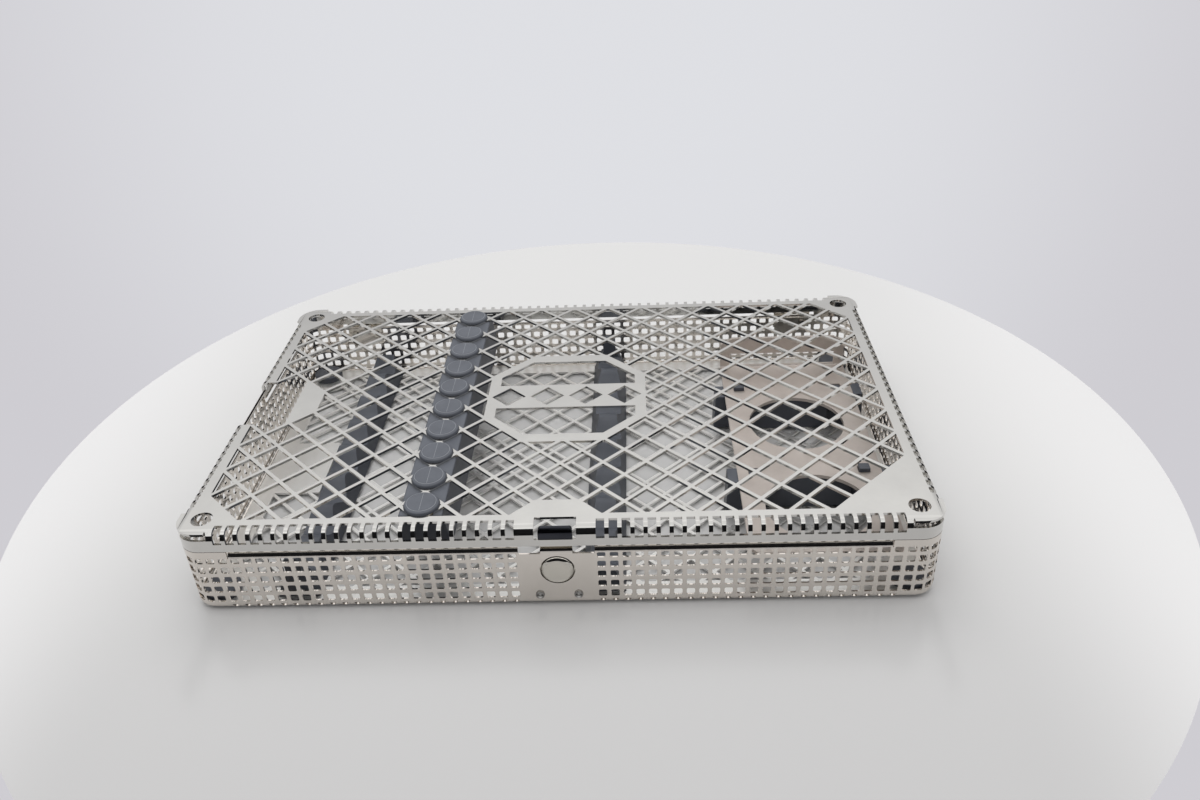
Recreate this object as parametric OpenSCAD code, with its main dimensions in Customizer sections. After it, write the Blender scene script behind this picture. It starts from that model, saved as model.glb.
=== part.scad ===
// Dental instrument cassette: a perforated steel tray with a hinged lattice lid, silicone instrument rails,
// a cup plate and a push-button latch. Millimetres, +Z up. The origin is on the surface that it stands on,
// under the middle of its outline. The front, with the latch, faces -Y.

/* [Case] */
// Length of the case from left to right
case_l = 280; // [270:1:300]
// Width of the case from front to back
case_w = 180; // [172:1:200]
// Depth of the tray, from the underside of its floor to its rim
tray_h = 25.9; // [24.5:0.1:32]
// Open gap between the tray's rim and the lid's flange
lid_gap = 1.8; // [1.4:0.1:3]
// Depth of the lid, from the edge of its flange to its top
lid_h = 8.3; // [8:0.1:12]
// Thickness of the sheet metal
sheet = 1; // [0.8:0.1:1.2]
// Outer radius of the upright corners
corner_r = 9; // [8.5:0.5:12]
// Height of the floor's underside above the table
floor_lift = 1; // [0.8:0.1:3]

/* [Wall holes] */
// Distance between the small square holes
hole_pitch = 4.65; // [4.4:0.05:5]
// Width of a small square hole
hole_w = 3.1; // [2.4:0.1:3.4]
// Height of a small square hole
hole_h = 3; // [2.4:0.1:3.4]
// Corner cut of a small square hole
hole_cut = 0.6; // [0.3:0.1:0.9]
// Height of the lowest row of holes above the floor's underside
first_row = 4.9; // [4.5:0.1:6]
// Rows of holes
hole_rows = 5; // [3:1:5]
// Half width of the blank panel at the latch
panel_half = 14.7; // [14:0.1:16]
// Distance of the last hole from the case's end
hole_margin = 12; // [11.5:0.1:16]

/* [Lattice] */
// Distance between two diamonds in a row of the lattice
lattice_pitch = 16.7; // [16:0.1:18]
// Half diagonal of a diamond opening
diamond_half = 7.3; // [6.6:0.1:7.4]
// Width of the plain border of the lid's top
lid_border = 7; // [6.5:0.1:10]
// Width of the plain border on the lid's top along the front and the back
lid_border_front = 8.2; // [8:0.1:12]
// Width of the plain border of the floor
floor_border = 9; // [8.5:0.5:16]
// Length of the blank patch at the floor's left end
floor_blank_l = 20; // [10:1:30]
// Shortest leg of a solid corner of the lid
corner_leg = 25; // [24:1:30]

/* [Lid] */
// Radius of the corner holes of the lid
corner_hole_r = 4; // [3:0.1:5]
// Distance from the case's outline to a corner hole's centre
corner_hole_in = 9; // [9:0.1:12]
// Octagon window, half length of its outside
window_half_l = 34.2; // [34:0.1:36]
// Octagon window, half width of its outside
window_half_w = 35; // [34:0.1:36]
// Octagon window, sum of length and width from the middle to its slanted sides
window_slant = 51.7; // [50:0.1:54]
// Width of the octagon's bars along its front and back
window_bar_w = 5.5; // [4:0.1:6]
// Width of the octagon's bars at its two ends
window_bar_l = 4.6; // [4:0.1:6]
// Width of the octagon's slanted bars
window_bar_s = 4.1; // [3:0.1:5]
// Half width of the bar across the octagon
cross_half = 9.2; // [8.5:0.1:10]
// Depth of the notch in the left edge
notch_l = 21.4; // [18:0.1:23]
// Half width of the notch in the left edge
notch_half = 17.3; // [14:0.1:18]
// Length of the slots on the lid's top, from its front and rear edges
slot_in = 5; // [4:0.1:5.5]
// Length of the slots on the lid's top, from its left and right edges
slot_in_side = 3.3; // [2.5:0.1:5]
// Depth of the slots on the lid's flange, from its top
slot_down = 5; // [4:0.1:5.5]
// Depth of the slit over the corner bands, from the lid's top
slit_down = 3.2; // [2.5:0.1:4]
// How far the corner slits reach along the straight sides
slit_run = 3.6; // [2:0.1:4]
// Radius of the lid's bend, which the relief cuts at the corners reach across
bend_r = 1.8; // [1.5:0.1:2.2]

/* [Latch] */
// Half width of the latch window in the lid
latch_window_half = 7.65; // [7.3:0.05:9]
// Depth of the latch window on the lid's top
latch_window_in = 6.3; // [5.2:0.1:6.6]
// Width of the tongue
tongue_w = 12.4; // [10:0.1:13]
// Diameter of the button at the panel
button_d = 12.2; // [10:0.1:13]
// Diameter of the button's flat face
button_face_d = 9.9; // [8:0.1:10]
// How far the button's face stands out of the panel
button_out = 1.1; // [0.8:0.1:1.6]
// Height of the button's centre above the floor's underside
button_up = 16.4; // [15.5:0.1:18]
// Thickness of the latch spring
leaf_t = 0.6; // [0.4:0.05:0.8]
// Width of the latch spring
leaf_w = 18; // [17:0.5:20]
// Distance between the two latch rivets
rivet_gap = 14.4; // [12:0.1:15]
// Diameter of a rivet head
rivet_head_d = 3.4; // [3:0.1:4.5]

/* [Rails] */
// Width of a rail at its foot
rail_w = 16.4; // [14:0.1:18]
// Width of a rail at its crest
rail_top_w = 8.2; // [6:0.1:10]
// Height of a notched rail's crests above the floor
rail_h = 10.5; // [8:0.1:12]
// Depth of a rail's notches
notch_depth = 5; // [3:0.1:6]
// Notches in a rail
notch_count = 8; // [6:1:10]
// Height of a rail's end post above the floor
post_h = 18.5; // [14:0.5:20]
// Length of a rail's end post
post_l = 5; // [4:0.5:8]
// Width of the end post
post_w = 6; // [5:0.5:8]
// Height of the hold-down rail under the lid
hold_h = 16; // [12:0.5:18]
// Width of the hold-down rail at its lower edge
hold_low_w = 20.6; // [17:0.1:24]
// Space left in front of and behind a rail
rail_end_gap = 4; // [2:0.5:8]
// Space left in front of and behind the hold-down rail
hold_end_gap = 9; // [7:0.5:14]
// Diameter of a plug's head
head_d = 13.9; // [13:0.1:15]
// Height of a plug's head above the lid
head_h = 1.6; // [1:0.1:2.5]
// Height of the sloped edge of a plug's head or a foot
head_edge = 0.8; // [0.4:0.1:0.9]
// Height of a corner foot above the floor
foot_up = 3.5; // [2:0.5:5]
// Least distance from the case's front or back to a plug's middle
plug_end = 14; // [12:0.5:20]

/* [Cup plate] */
// Length of the cup plate from left to right
plate_l = 58.6; // [54:0.1:60]
// Width of the cup plate from front to back
plate_w = 138; // [130:0.5:142]
// Distance from the tray's front to the plate
plate_front = 6; // [4:0.5:10]
// Distance from the tray's right end to the plate
plate_side = 10.5; // [9:0.1:14]
// Height of the plate's top over the floor
plate_up = 16.7; // [14:0.1:18]
// Thickness of the cup plate
plate_t = 1.5; // [1:0.1:2]
// Radius of the cup holes
cup_r = 20.5; // [18:0.1:22]
// Distance between the cup holes' centres
cup_gap = 59.4; // [56:0.1:62]
// Distance from the plate's front edge to the first cup hole's centre
cup_front = 27; // [25:0.5:30]
// Height of the plate's rear flange over the plate
back_h = 15.3; // [12:0.1:15.6]
// Width of the rear flange's legs beside its window
back_leg_w = 4.4; // [3:0.1:6]
// Height of the window in the rear flange
back_window_h = 6.6; // [5:0.1:8]
// Width of a silicone leg that stands out beside the plate
leg_out = 4.2; // [3:0.1:5]
// Length of a silicone leg from front to back
leg_l = 9.6; // [8:0.1:12]
// Distance from the plate's front edge to the front legs
leg_front = 43.5; // [40:0.5:46]
// Distance from the plate's front edge to the rear legs
leg_rear = 109; // [105:0.5:112]
// Thickness of the silicone bars between the legs, behind the cups
bar_t = 8; // [6:0.5:9]

/* [Hinges] */
// Length of a hinge
hinge_l = 18; // [14:1:24]
// Diameter of a hinge pin
pin_d = 1.6; // [1.4:0.1:1.8]
// Outer diameter of the hinge barrel
barrel_d = 3.6; // [3.4:0.1:4]
// Distance from the case's end to a hinge's middle
hinge_in = 30; // [26:1:40]
// Thickness of a hinge leaf
hinge_leaf_t = 0.8; // [0.6:0.1:1]
// Height of a hinge's tray leaf below the rim
hinge_leaf_h = 7; // [6:0.5:9]

/* [Hidden] */

$fn = 48;
over = 1;               // how far a cutter runs past what it cuts
run_clear = 0.05;       // radial clearance of a hinge pin in the lid's barrel
part_clear = 0.25;      // gap between pieces that move past each other
button_clear = 0.4;     // gap round the button in the front panel
steel = [0.80, 0.79, 0.77];
warm_steel = [0.62, 0.59, 0.56];
silicone = [0.30, 0.32, 0.36];

// Outline and levels
half_l = case_l / 2;
half_w = case_w / 2;
floor_top = floor_lift + sheet;
rim_z = floor_lift + tray_h;
flange_z = rim_z + lid_gap;
lid_z = flange_z + lid_h;
lid_under = lid_z - sheet;
inner_l = half_l - sheet;
inner_w = half_w - sheet;
straight_l = half_l - corner_r;
straight_w = half_w - corner_r;

// Wall holes: the places of the columns along a wall whose half length is given
function columns(half, first) =
    [for (k = [0 : floor(half / hole_pitch)])
        let (p = (k + 0.5) * hole_pitch) if (p >= first && p <= half) each [-p, p]];
row_z = [for (k = [0 : hole_rows - 1]) floor_lift + first_row + k * hole_pitch];
front_columns = columns(half_l - hole_margin, panel_half);
rear_columns = columns(half_l - hole_margin, 0);
side_columns = columns(half_w - hole_margin, 0);
slot_columns_l = columns(straight_l - hole_pitch, panel_half);
slot_columns_rear = columns(straight_l - hole_pitch, 0);
slot_columns_w = columns(straight_w - hole_pitch, 0);
side_notch_first = notch_half + hole_w / 2;
notch_wall = notch_half - 1;       // half length of the raised piece of the left wall in the notch
notch_wall_top = lid_z - 3;
slit_from_l = straight_l - slit_run;
slit_from_w = straight_w - slit_run;
relief_w = 0.4;                    // width of a relief cut
corner_stub = 2.4;                 // straight piece of the side wall that belongs to the corner
side_end = straight_w - corner_stub;
rise_l = 12.3;                     // length of a raised end of a wall, beside the round corner
corner_rise = corner_r + rise_l;   // distance from the case's end over which the corners rise to the lid
corner_gap = 0.2;                  // what stays open between a raised corner and the lid's band
corner_top = flange_z - corner_gap;
rim_lip = 2.6;                     // width of the lip folded inwards along the top of the walls

// Holes round a corner: evenly spaced between the last columns of the front and of the side
arc_l = corner_r * PI / 2;
arc_from = max(front_columns) - straight_l;
arc_run = arc_l + straight_w - max(side_columns) - arc_from;
arc_count = round(arc_run / hole_pitch) - 1;
arc_angles = [for (k = [1 : arc_count])
    90 - (arc_from + k * arc_run / (arc_count + 1)) / corner_r * 180 / PI];

// The places of the lattice's openings, alternating between two grids, inside a rectangle
function lattice(lim_x, lim_y) =
    let (s = lattice_pitch / 2, nx = ceil(lim_x / s) + 1, ny = ceil(lim_y / s) + 1)
    [for (i = [-nx : nx], j = [-ny : ny]) if (abs(i + j) % 2 == 1) [i * s, j * s]];

// Rails stand on columns of the lattice
lattice_s = lattice_pitch / 2;
left_rail_x = -12 * lattice_s;
centre_rail_x = 2 * lattice_s;
hold_down_x = -6 * lattice_s;
rail_half = inner_w - rail_end_gap;
plug_pairs = floor(((half_w - plug_end) / lattice_s + 1) / 2);
plug_y = [for (k = [1 - plug_pairs : plug_pairs]) (2 * k - 1) * lattice_s];
blank_rim = 2;                     // what a blank patch of the floor adds round what lies over it
diamond_side = diamond_half * sqrt(2);
plug_stem_r = diamond_side / 2 - 0.15;

// Cup plate
plate_x = half_l - plate_side - plate_l / 2;
plate_y = -half_w + plate_front;
plate_top = floor_top + plate_up;
plate_under = plate_top - plate_t;
cup_y = [plate_y + cup_front, plate_y + cup_front + cup_gap];
back_y = plate_y + plate_w;
back_top = plate_top + back_h;
leg_y = [plate_y + leg_front, plate_y + leg_rear];
leg_gap = 1;                               // what the plate's slot leaves round a leg's tab
leg_in = 7;                                // how far a leg reaches under the plate
tab_l = 4.4;
tab_w = 4;
tab_back = leg_l - tab_w / 2 - 0.4;        // from a leg's front edge to its tab's middle
tab_up = [-0.6, 1.6, 1.6, -0.6];           // how far the tabs stand over the plate: two are pulled down

// Latch, from the front panel backwards
wall_in = -inner_w;                        // inner face of the front wall
rivet_z = floor_lift + 4.5;
button_z = floor_lift + button_up;
leaf_front = wall_in + part_clear;
leaf_back = leaf_front + leaf_t;
leaf_low = floor_lift + 8;                 // the spring bends here
bar_top = lid_z - slot_down - 0.4;         // the lid bar that the tongue hooks over
tongue_top = lid_under + 0.4;
panel_notch = [5.9, 13.7];                 // the panel's two see-through notches, from the middle
panel_notch_z = rim_z - 1.8;

// Hinges
hinge_x = half_l - hinge_in;
axis_y = half_w + barrel_d / 2 + 0.4;
axis_z = rim_z + lid_gap / 2;
pin_r = pin_d / 2;
barrel_r = barrel_d / 2;
knuckle_l = hinge_l / 3;
pin_out = 0.4;                             // how far a pin stands out of its barrel at each end
leaf_rivet_x = hinge_l / 2 - 3.5;
tray_rivet_z = rim_z - 4.2;
lid_rivet_d = 2.6;
lid_rivet_z = flange_z + 1.7;
lid_leaf_top = lid_z - slot_down - 0.2;
hinge_blank = 7;                           // half width of the blank patch in the rear wall
hinge_blank_rows = 2;

// A square hole with cut corners, flat, round its own middle
module square_hole(w, h, cut = hole_cut) {
    polygon([
        [-w / 2 + cut, -h / 2], [w / 2 - cut, -h / 2], [w / 2, -h / 2 + cut], [w / 2, h / 2 - cut],
        [w / 2 - cut, h / 2], [-w / 2 + cut, h / 2], [-w / 2, h / 2 - cut], [-w / 2, -h / 2 + cut]
    ]);
}

// A flat drawing stood up as a wall along X: its outside faces -Y at y = -depth
module stand_front(depth) {
    translate([0, -depth + sheet, 0]) rotate([90, 0, 0]) linear_extrude(sheet) children();
}

module diamond() {
    rotate(45) square(diamond_side, center = true);
}

// A rectangle from one corner to the other
module span(a, b) {
    translate(a) square(b - a);
}

// A rounded rectangle, as four arcs joined by its straight sides
module rounded(hl, hw, r) {
    span([-hl + r, -hw], [hl - r, hw]);
    span([-hl, -hw + r], [hl, hw - r]);
    for (x = [-hl + r, hl - r], y = [-hw + r, hw - r]) translate([x, y]) circle(r);
}

// The small triangle openings where the holes run into the bend at the bottom of a wall
module bend_notches(places) {
    top = floor_lift + 1.9;
    for (p = places)
        polygon([[p - hole_w / 2, top], [p - 0.4, floor_lift - over], [p + 0.4, floor_lift - over],
            [p + hole_w / 2, top]]);
}

// One tray wall, drawn flat: from the underside of the floor to the rim, with raised ends
module wall_drawing(end, places, corner = corner_r, blank = []) {
    rise = end + corner - corner_rise;
    difference() {
        union() {
            span([-end, floor_lift], [end, rim_z]);
            for (s = [-1, 1])
                span([min(s * rise, s * end), floor_lift], [max(s * rise, s * end), corner_top]);
        }
        for (p = places, z = row_z)
            if (!in_blank(p, z, blank)) translate([p, z]) square_hole(hole_w, hole_h);
        bend_notches([for (p = places) if (abs(p) < end - hole_pitch) p]);
    }
}

// True where a hole at p, z lies in one of the blank patches [middle, half width, lowest z]
function in_blank(p, z, blank) =
    len([for (b = blank) if (abs(p - b[0]) < b[1] && z > b[2]) 1]) > 0;

hinge_patches = [for (s = [-1, 1]) [s * hinge_x, hinge_blank, row_z[hole_rows - hinge_blank_rows] - over]];

module tray_floor() {
    lim_x = inner_l - floor_border;
    lim_y = inner_w - floor_border;
    color(steel)
    translate([0, 0, floor_lift]) linear_extrude(sheet)
    difference() {
        rounded(inner_l, inner_w, corner_r - sheet);
        difference() {
            intersection() {
                span([-lim_x, -lim_y], [lim_x, lim_y]);
                union() for (p = lattice(lim_x, lim_y)) translate(p) diamond();
            }
            // Blank patch at the left end
            span([-half_l, -notch_half - blank_rim], [-lim_x + floor_blank_l, notch_half + blank_rim]);
            // Blank patch behind the cups
            span([plate_x - plate_l / 2 + 2 * blank_rim, cup_y[1] + cup_r + 2 * blank_rim],
                [plate_x + plate_l / 2, half_w]);
            // Blank corners round the feet
            for (x = [-straight_l, straight_l], y = [-straight_w, straight_w])
                translate([x, y]) circle(head_d);
        }
        for (x = [-straight_l, straight_l], y = [-straight_w, straight_w])
            translate([x, y]) circle(corner_hole_r);
        for (x = [left_rail_x, centre_rail_x], y = plug_y) translate([x, y]) circle(plug_stem_r);
    }
}

module tray_front_wall() {
    color(steel)
    difference() {
        stand_front(half_w)
        difference() {
            wall_drawing(straight_l, front_columns);
            for (s = [-1, 1])
                translate([s * (panel_notch[0] + panel_notch[1]) / 2, rim_z])
                    square([panel_notch[1] - panel_notch[0], 2 * (rim_z - panel_notch_z)], center = true);
        }
        translate([0, -half_w - over, button_z]) rotate([-90, 0, 0])
            cylinder(r = button_d / 2 + button_clear, h = sheet + 2 * over);
        for (s = [-1, 1]) translate([s * rivet_gap / 2, -half_w - over, rivet_z]) rotate([-90, 0, 0])
            cylinder(r = rivet_head_d / 4, h = sheet + 2 * over);
    }
}

module tray_rear_wall() {
    color(steel)
    rotate(180)
    difference() {
        stand_front(half_w) wall_drawing(straight_l, rear_columns, blank = hinge_patches);
        for (s = [-1, 1], t = [-1, 1])
            translate([s * hinge_x + t * leaf_rivet_x, -half_w + sheet / 2, tray_rivet_z]) rotate([90, 0, 0])
                cylinder(r = rivet_head_d / 4, h = sheet + 2 * over, center = true);
    }
}

module tray_left_wall() {
    color(steel) rotate(-90) stand_front(half_l) wall_drawing(side_end, side_columns, half_w - side_end);
}

module tray_right_wall() {
    color(steel) rotate(90) stand_front(half_l) wall_drawing(side_end, side_columns, half_w - side_end);
}

// A quarter of a ring round one upright corner with its stub of side wall, between two heights
module corner_ring(z0, z1, stub) {
    translate([straight_l, straight_w, z0]) linear_extrude(z1 - z0) {
        intersection() {
            difference() {
                circle(corner_r);
                circle(corner_r - sheet);
            }
            square(corner_r + over);
        }
        span([corner_r - sheet, -stub], [corner_r, 0.01]);
    }
}

module four_corners() {
    for (m = [0, 1], n = [0, 1]) mirror([m, 0, 0]) mirror([0, n, 0]) children();
}

module tray_corners() {
    color(steel)
    four_corners()
    difference() {
        corner_ring(floor_lift, corner_top, corner_stub);
        for (a = arc_angles, z = row_z)
            translate([straight_l, straight_w, z]) rotate([90, 0, 90 + a])
                translate([0, 0, corner_r - sheet - over]) linear_extrude(sheet + 2 * over)
                    square_hole(hole_w, hole_h);
    }
}

// The lip along the top of each wall, folded inwards; it stops short of the latch's notches
module tray_rim() {
    front_from = panel_notch[1];
    end_l = half_l - corner_rise;
    end_w = half_w - corner_rise;
    color(steel)
    translate([0, 0, rim_z - sheet]) linear_extrude(sheet) {
        for (s = [-1, 1])
            span([min(s * front_from, s * end_l), -inner_w],
                [max(s * front_from, s * end_l), -inner_w + rim_lip]);
        span([-end_l, inner_w - rim_lip], [end_l, inner_w]);
        for (s = [-1, 1])
            span([-inner_l, min(s * notch_wall, s * end_w)],
                [-inner_l + rim_lip, max(s * notch_wall, s * end_w)]);
        span([inner_l - rim_lip, -end_w], [inner_l, end_w]);
    }
}

// The left wall rises in the lid's notch: one more row of holes and the lip on top
module tray_notch_wall() {
    row = row_z[hole_rows - 1] + hole_pitch;
    color(steel) {
        rotate(-90) stand_front(half_l) difference() {
            span([-notch_wall, rim_z], [notch_wall, notch_wall_top]);
            for (p = side_columns)
                if (abs(p) < notch_wall - hole_w) translate([p, row]) square_hole(hole_w, hole_h);
        }
        translate([-inner_l, -notch_wall, notch_wall_top - sheet]) cube([rim_lip, 2 * notch_wall, sheet]);
    }
}

module corner_feet() {
    color(silicone)
    four_corners() translate([straight_l, straight_w, 0]) {
        cylinder(d = head_d, h = floor_lift);
        cylinder(r = corner_hole_r, h = floor_top + over);
        translate([0, 0, floor_top]) cylinder(d = head_d, h = foot_up - head_edge);
        translate([0, 0, floor_top + foot_up - head_edge])
            cylinder(d1 = head_d, d2 = head_d - 2.5 * head_edge, h = head_edge);
    }
}

// The waved top of a notched rail, as a drawing in Y and Z above the floor
function rail_wave(steps = 12) =
    let (p = 2 * rail_half / notch_count)
    [for (k = [0 : notch_count * steps])
        let (y = -rail_half + k * p / steps)
        [y, rail_h - notch_depth * (0.5 - 0.5 * cos(360 * (y + rail_half) / p))]];

module notched_rail() {
    foot = rail_w / 2;
    crest = rail_top_w / 2;
    shoulder_h = 0.8 * rail_h;
    shoulder = foot - (foot - crest) * shoulder_h / rail_h;
    post = post_w / 2;
    edge = 1;
    color(silicone)
    translate([0, 0, floor_top]) {
        intersection() {
            rotate([90, 0, 0]) linear_extrude(2 * rail_half, center = true)
                polygon([[-foot, 0], [foot, 0], [crest, rail_h], [-crest, rail_h]]);
            rotate([90, 0, 90]) linear_extrude(2 * rail_w, center = true)
                polygon(concat([[-rail_half, 0]], rail_wave(), [[rail_half, 0]]));
        }
        // End post, as wide as the rail at its foot
        translate([0, -rail_half + post_l, 0]) rotate([90, 0, 0]) linear_extrude(post_l)
            polygon([[-foot, 0], [foot, 0], [shoulder, shoulder_h], [post, rail_h + edge],
                [post, post_h - edge], [post - edge, post_h], [-post + edge, post_h],
                [-post, post_h - edge], [-post, rail_h + edge], [-shoulder, shoulder_h]]);
    }
}

module left_rail() {
    translate([left_rail_x, 0, 0]) notched_rail();
}

module centre_rail() {
    translate([centre_rail_x, 0, 0]) rotate(180) notched_rail();
}

// Plugs that hold a rail in the floor: a flat head under the floor and a stem through a diamond
module floor_plugs() {
    for (y = plug_y) translate([0, y, 0]) {
        cylinder(d = head_d, h = floor_lift);
        cylinder(r = plug_stem_r, h = floor_top);
    }
}

module left_rail_plugs() {
    color(silicone) translate([left_rail_x, 0, 0]) floor_plugs();
}

module centre_rail_plugs() {
    color(silicone) translate([centre_rail_x, 0, 0]) floor_plugs();
}

// Where each leg stands: [side, front edge, how far its tab stands up]
leg_places = [
    [-1, leg_y[0], tab_up[0]], [-1, leg_y[1], tab_up[1]],
    [1, leg_y[0], tab_up[2]], [1, leg_y[1], tab_up[3]]
];

module leg_slots(grow) {
    for (p = leg_places)
        translate([plate_x + p[0] * (plate_l / 2 - leg_in), p[1] + tab_back])
            square([tab_l + grow, tab_w + grow], center = true);
}

module cup_plate() {
    color(warm_steel)
    translate([0, 0, plate_under]) linear_extrude(plate_t)
    difference() {
        span([plate_x - plate_l / 2, plate_y], [plate_x + plate_l / 2, back_y]);
        for (y = cup_y) translate([plate_x, y]) circle(cup_r, $fn = 96);
        leg_slots(leg_gap / 2);
    }
}

module cup_plate_back() {
    foot_h = 0.6;
    color(warm_steel)
    translate([plate_x, back_y, 0]) rotate([90, 0, 0]) linear_extrude(plate_t)
    difference() {
        polygon([[-plate_l / 2, plate_top], [plate_l / 2, plate_top], [plate_l / 2, back_top - 3],
            [plate_l / 2 - 5.5, back_top], [-plate_l / 2 + 5.5, back_top], [-plate_l / 2, back_top - 3]]);
        span([-plate_l / 2 + back_leg_w, plate_top + foot_h],
            [plate_l / 2 - back_leg_w, plate_top + foot_h + back_window_h]);
    }
}

module cup_plate_legs() {
    color(silicone)
    for (p = leg_places) translate([plate_x, p[1], 0]) mirror([p[0] < 0 ? 1 : 0, 0, 0]) {
        // Outer block beside the plate, leaning out a little towards its foot
        translate([0, leg_l, 0]) rotate([90, 0, 0]) linear_extrude(leg_l)
            polygon([[plate_l / 2 - leg_in - tab_l, floor_top], [plate_l / 2 + leg_out + 0.8, floor_top],
                [plate_l / 2 + leg_out, plate_top], [plate_l / 2, plate_top], [plate_l / 2, plate_under],
                [plate_l / 2 - leg_in - tab_l, plate_under]]);
        // Tab that comes up through the plate
        translate([plate_l / 2 - leg_in, tab_back, (plate_under + plate_top + p[2]) / 2])
            cube([tab_l, tab_w, plate_t + p[2]], center = true);
    }
}

// Bars across the tray between the legs, behind the cups, which keep a cup from sliding back
module cup_plate_bars() {
    reach = plate_l / 2 - leg_in - tab_l;
    color(silicone)
    for (y = cup_y)
        translate([plate_x - reach, y + cup_r + part_clear, floor_top])
            cube([2 * reach, bar_t, plate_under - floor_top]);
}

module latch_foot() {
    color(steel)
    difference() {
        translate([-leaf_w / 2, wall_in, floor_top + 0.3]) cube([leaf_w, leaf_t, leaf_low - floor_top - 0.6]);
        for (s = [-1, 1]) translate([s * rivet_gap / 2, wall_in - over, rivet_z]) rotate([-90, 0, 0])
            cylinder(r = rivet_head_d / 4, h = leaf_t + 2 * over);
    }
}

// A rivet along -Y: a domed head outside, a shank through the sheets and a flat head inside
module rivet(d, grip, back_h = 0.6) {
    dome_h = d / 5;
    dome_r = (d * d / 4 + dome_h * dome_h) / (2 * dome_h);
    rotate([90, 0, 0]) {
        intersection() {
            translate([0, 0, dome_h - dome_r]) sphere(dome_r);
            cylinder(d = d, h = dome_h);
        }
        translate([0, 0, -grip]) cylinder(d = d / 2, h = grip);
        translate([0, 0, -grip - back_h]) cylinder(d = d * 0.9, h = back_h);
    }
}

module latch_rivets() {
    color(steel)
    for (s = [-1, 1]) translate([s * rivet_gap / 2, -half_w, rivet_z]) rivet(rivet_head_d, sheet + leaf_t);
}

// The moving part of the spring, straight up behind the panel, narrowed where it passes the lid's flange
module latch_leaf() {
    neck = tongue_w - 0.6;
    color(steel)
    translate([0, leaf_back, 0]) rotate([90, 0, 0]) linear_extrude(leaf_t)
    polygon([[-leaf_w / 2, leaf_low], [leaf_w / 2, leaf_low], [leaf_w / 2, rim_z - 4], [neck / 2, rim_z - 2],
        [neck / 2, bar_top - 1], [-neck / 2, bar_top - 1], [-neck / 2, rim_z - 2], [-leaf_w / 2, rim_z - 4]]);
}

// Button: a face with a sloped edge in front of the panel, a body through it, seated on the spring
module latch_button() {
    color(steel)
    translate([0, leaf_front, button_z]) rotate([90, 0, 0]) {
        cylinder(d = button_d, h = sheet + part_clear);
        translate([0, 0, sheet + part_clear]) cylinder(d1 = button_d, d2 = button_face_d, h = button_out);
    }
}

// Tongue: the spring's end bent out over the lid's bar, with a sloped front that the closing lid pushes back
module latch_tongue() {
    hook_z = bar_top + 0.15;
    front = -half_w + 0.15;
    back_top_y = leaf_back + 0.6;
    end_r = 1.6;
    color(steel)
    intersection() {
        translate([-tongue_w / 2, 0, 0]) rotate([90, 0, 90]) linear_extrude(tongue_w)
            polygon([[leaf_front, bar_top - 1], [leaf_back, bar_top - 1], [leaf_back, hook_z + 0.9],
                [back_top_y, tongue_top - 0.8], [back_top_y, tongue_top - 0.3],
                [back_top_y - 0.4, tongue_top], [back_top_y - 1, tongue_top], [front + 0.4, tongue_top - 1], [front, tongue_top - 1.8],
                [front, hook_z], [leaf_front, hook_z]]);
        translate([0, half_w, 0]) rotate([90, 0, 0]) linear_extrude(case_w * 2, center = true)
            hull() {
                span([-tongue_w / 2, bar_top - 2], [tongue_w / 2, tongue_top - 2]);
                for (s = [-1, 1])
                    translate([s * (tongue_w / 2 - end_r), tongue_top - end_r]) circle(end_r, $fn = 24);
            }
    }
}

module two_hinges() {
    for (s = [-1, 1]) translate([s * hinge_x, 0, 0]) children();
}

// One barrel length along X with its bore, from x0 to x1
module knuckle(x0, x1, bore) {
    translate([x0, axis_y, axis_z]) rotate([0, 90, 0]) difference() {
        cylinder(r = barrel_r, h = x1 - x0);
        translate([0, 0, -over]) cylinder(r = bore, h = x1 - x0 + 2 * over);
    }
}

// A leaf flat on the wall with the wrap up to its knuckle
module leaf_plate(x0, x1, z0, z1, bore) {
    l = x1 - x0;
    wrap_y = half_w + hinge_leaf_t / 2;
    difference() {
        union() {
            translate([x0, half_w, min(z0, z1)]) cube([l, hinge_leaf_t, abs(z1 - z0)]);
            translate([x0, wrap_y, axis_z - hinge_leaf_t / 2]) cube([l, axis_y - wrap_y, hinge_leaf_t]);
        }
        translate([x0 - over, axis_y, axis_z]) rotate([0, 90, 0])
            cylinder(r = bore + part_clear, h = l + 2 * over);
    }
}

module hinge_tray_leaves() {
    low = rim_z - hinge_leaf_h;
    color(steel)
    two_hinges() difference() {
        union() {
            translate([-hinge_l / 2, half_w, low])
                cube([hinge_l, hinge_leaf_t, axis_z - barrel_r - part_clear - low]);
            for (s = [-1, 1]) {
                x0 = s < 0 ? -hinge_l / 2 : knuckle_l / 2;
                leaf_plate(x0, x0 + knuckle_l, low, axis_z + hinge_leaf_t / 2, pin_r);
                knuckle(x0, x0 + knuckle_l, pin_r);
            }
        }
        for (t = [-1, 1]) translate([t * leaf_rivet_x, half_w - over, tray_rivet_z]) rotate([-90, 0, 0])
            cylinder(r = rivet_head_d / 4, h = hinge_leaf_t + 2 * over);
    }
}

module hinge_tray_rivets() {
    color(steel)
    two_hinges() for (t = [-1, 1]) translate([t * leaf_rivet_x, half_w + hinge_leaf_t, tray_rivet_z])
        mirror([0, 1, 0]) rivet(rivet_head_d, hinge_leaf_t + sheet);
}

module hinge_pins() {
    color(steel)
    two_hinges() translate([-hinge_l / 2 - pin_out, axis_y, axis_z]) rotate([0, 90, 0])
        cylinder(r = pin_r, h = hinge_l + 2 * pin_out);
}

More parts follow.
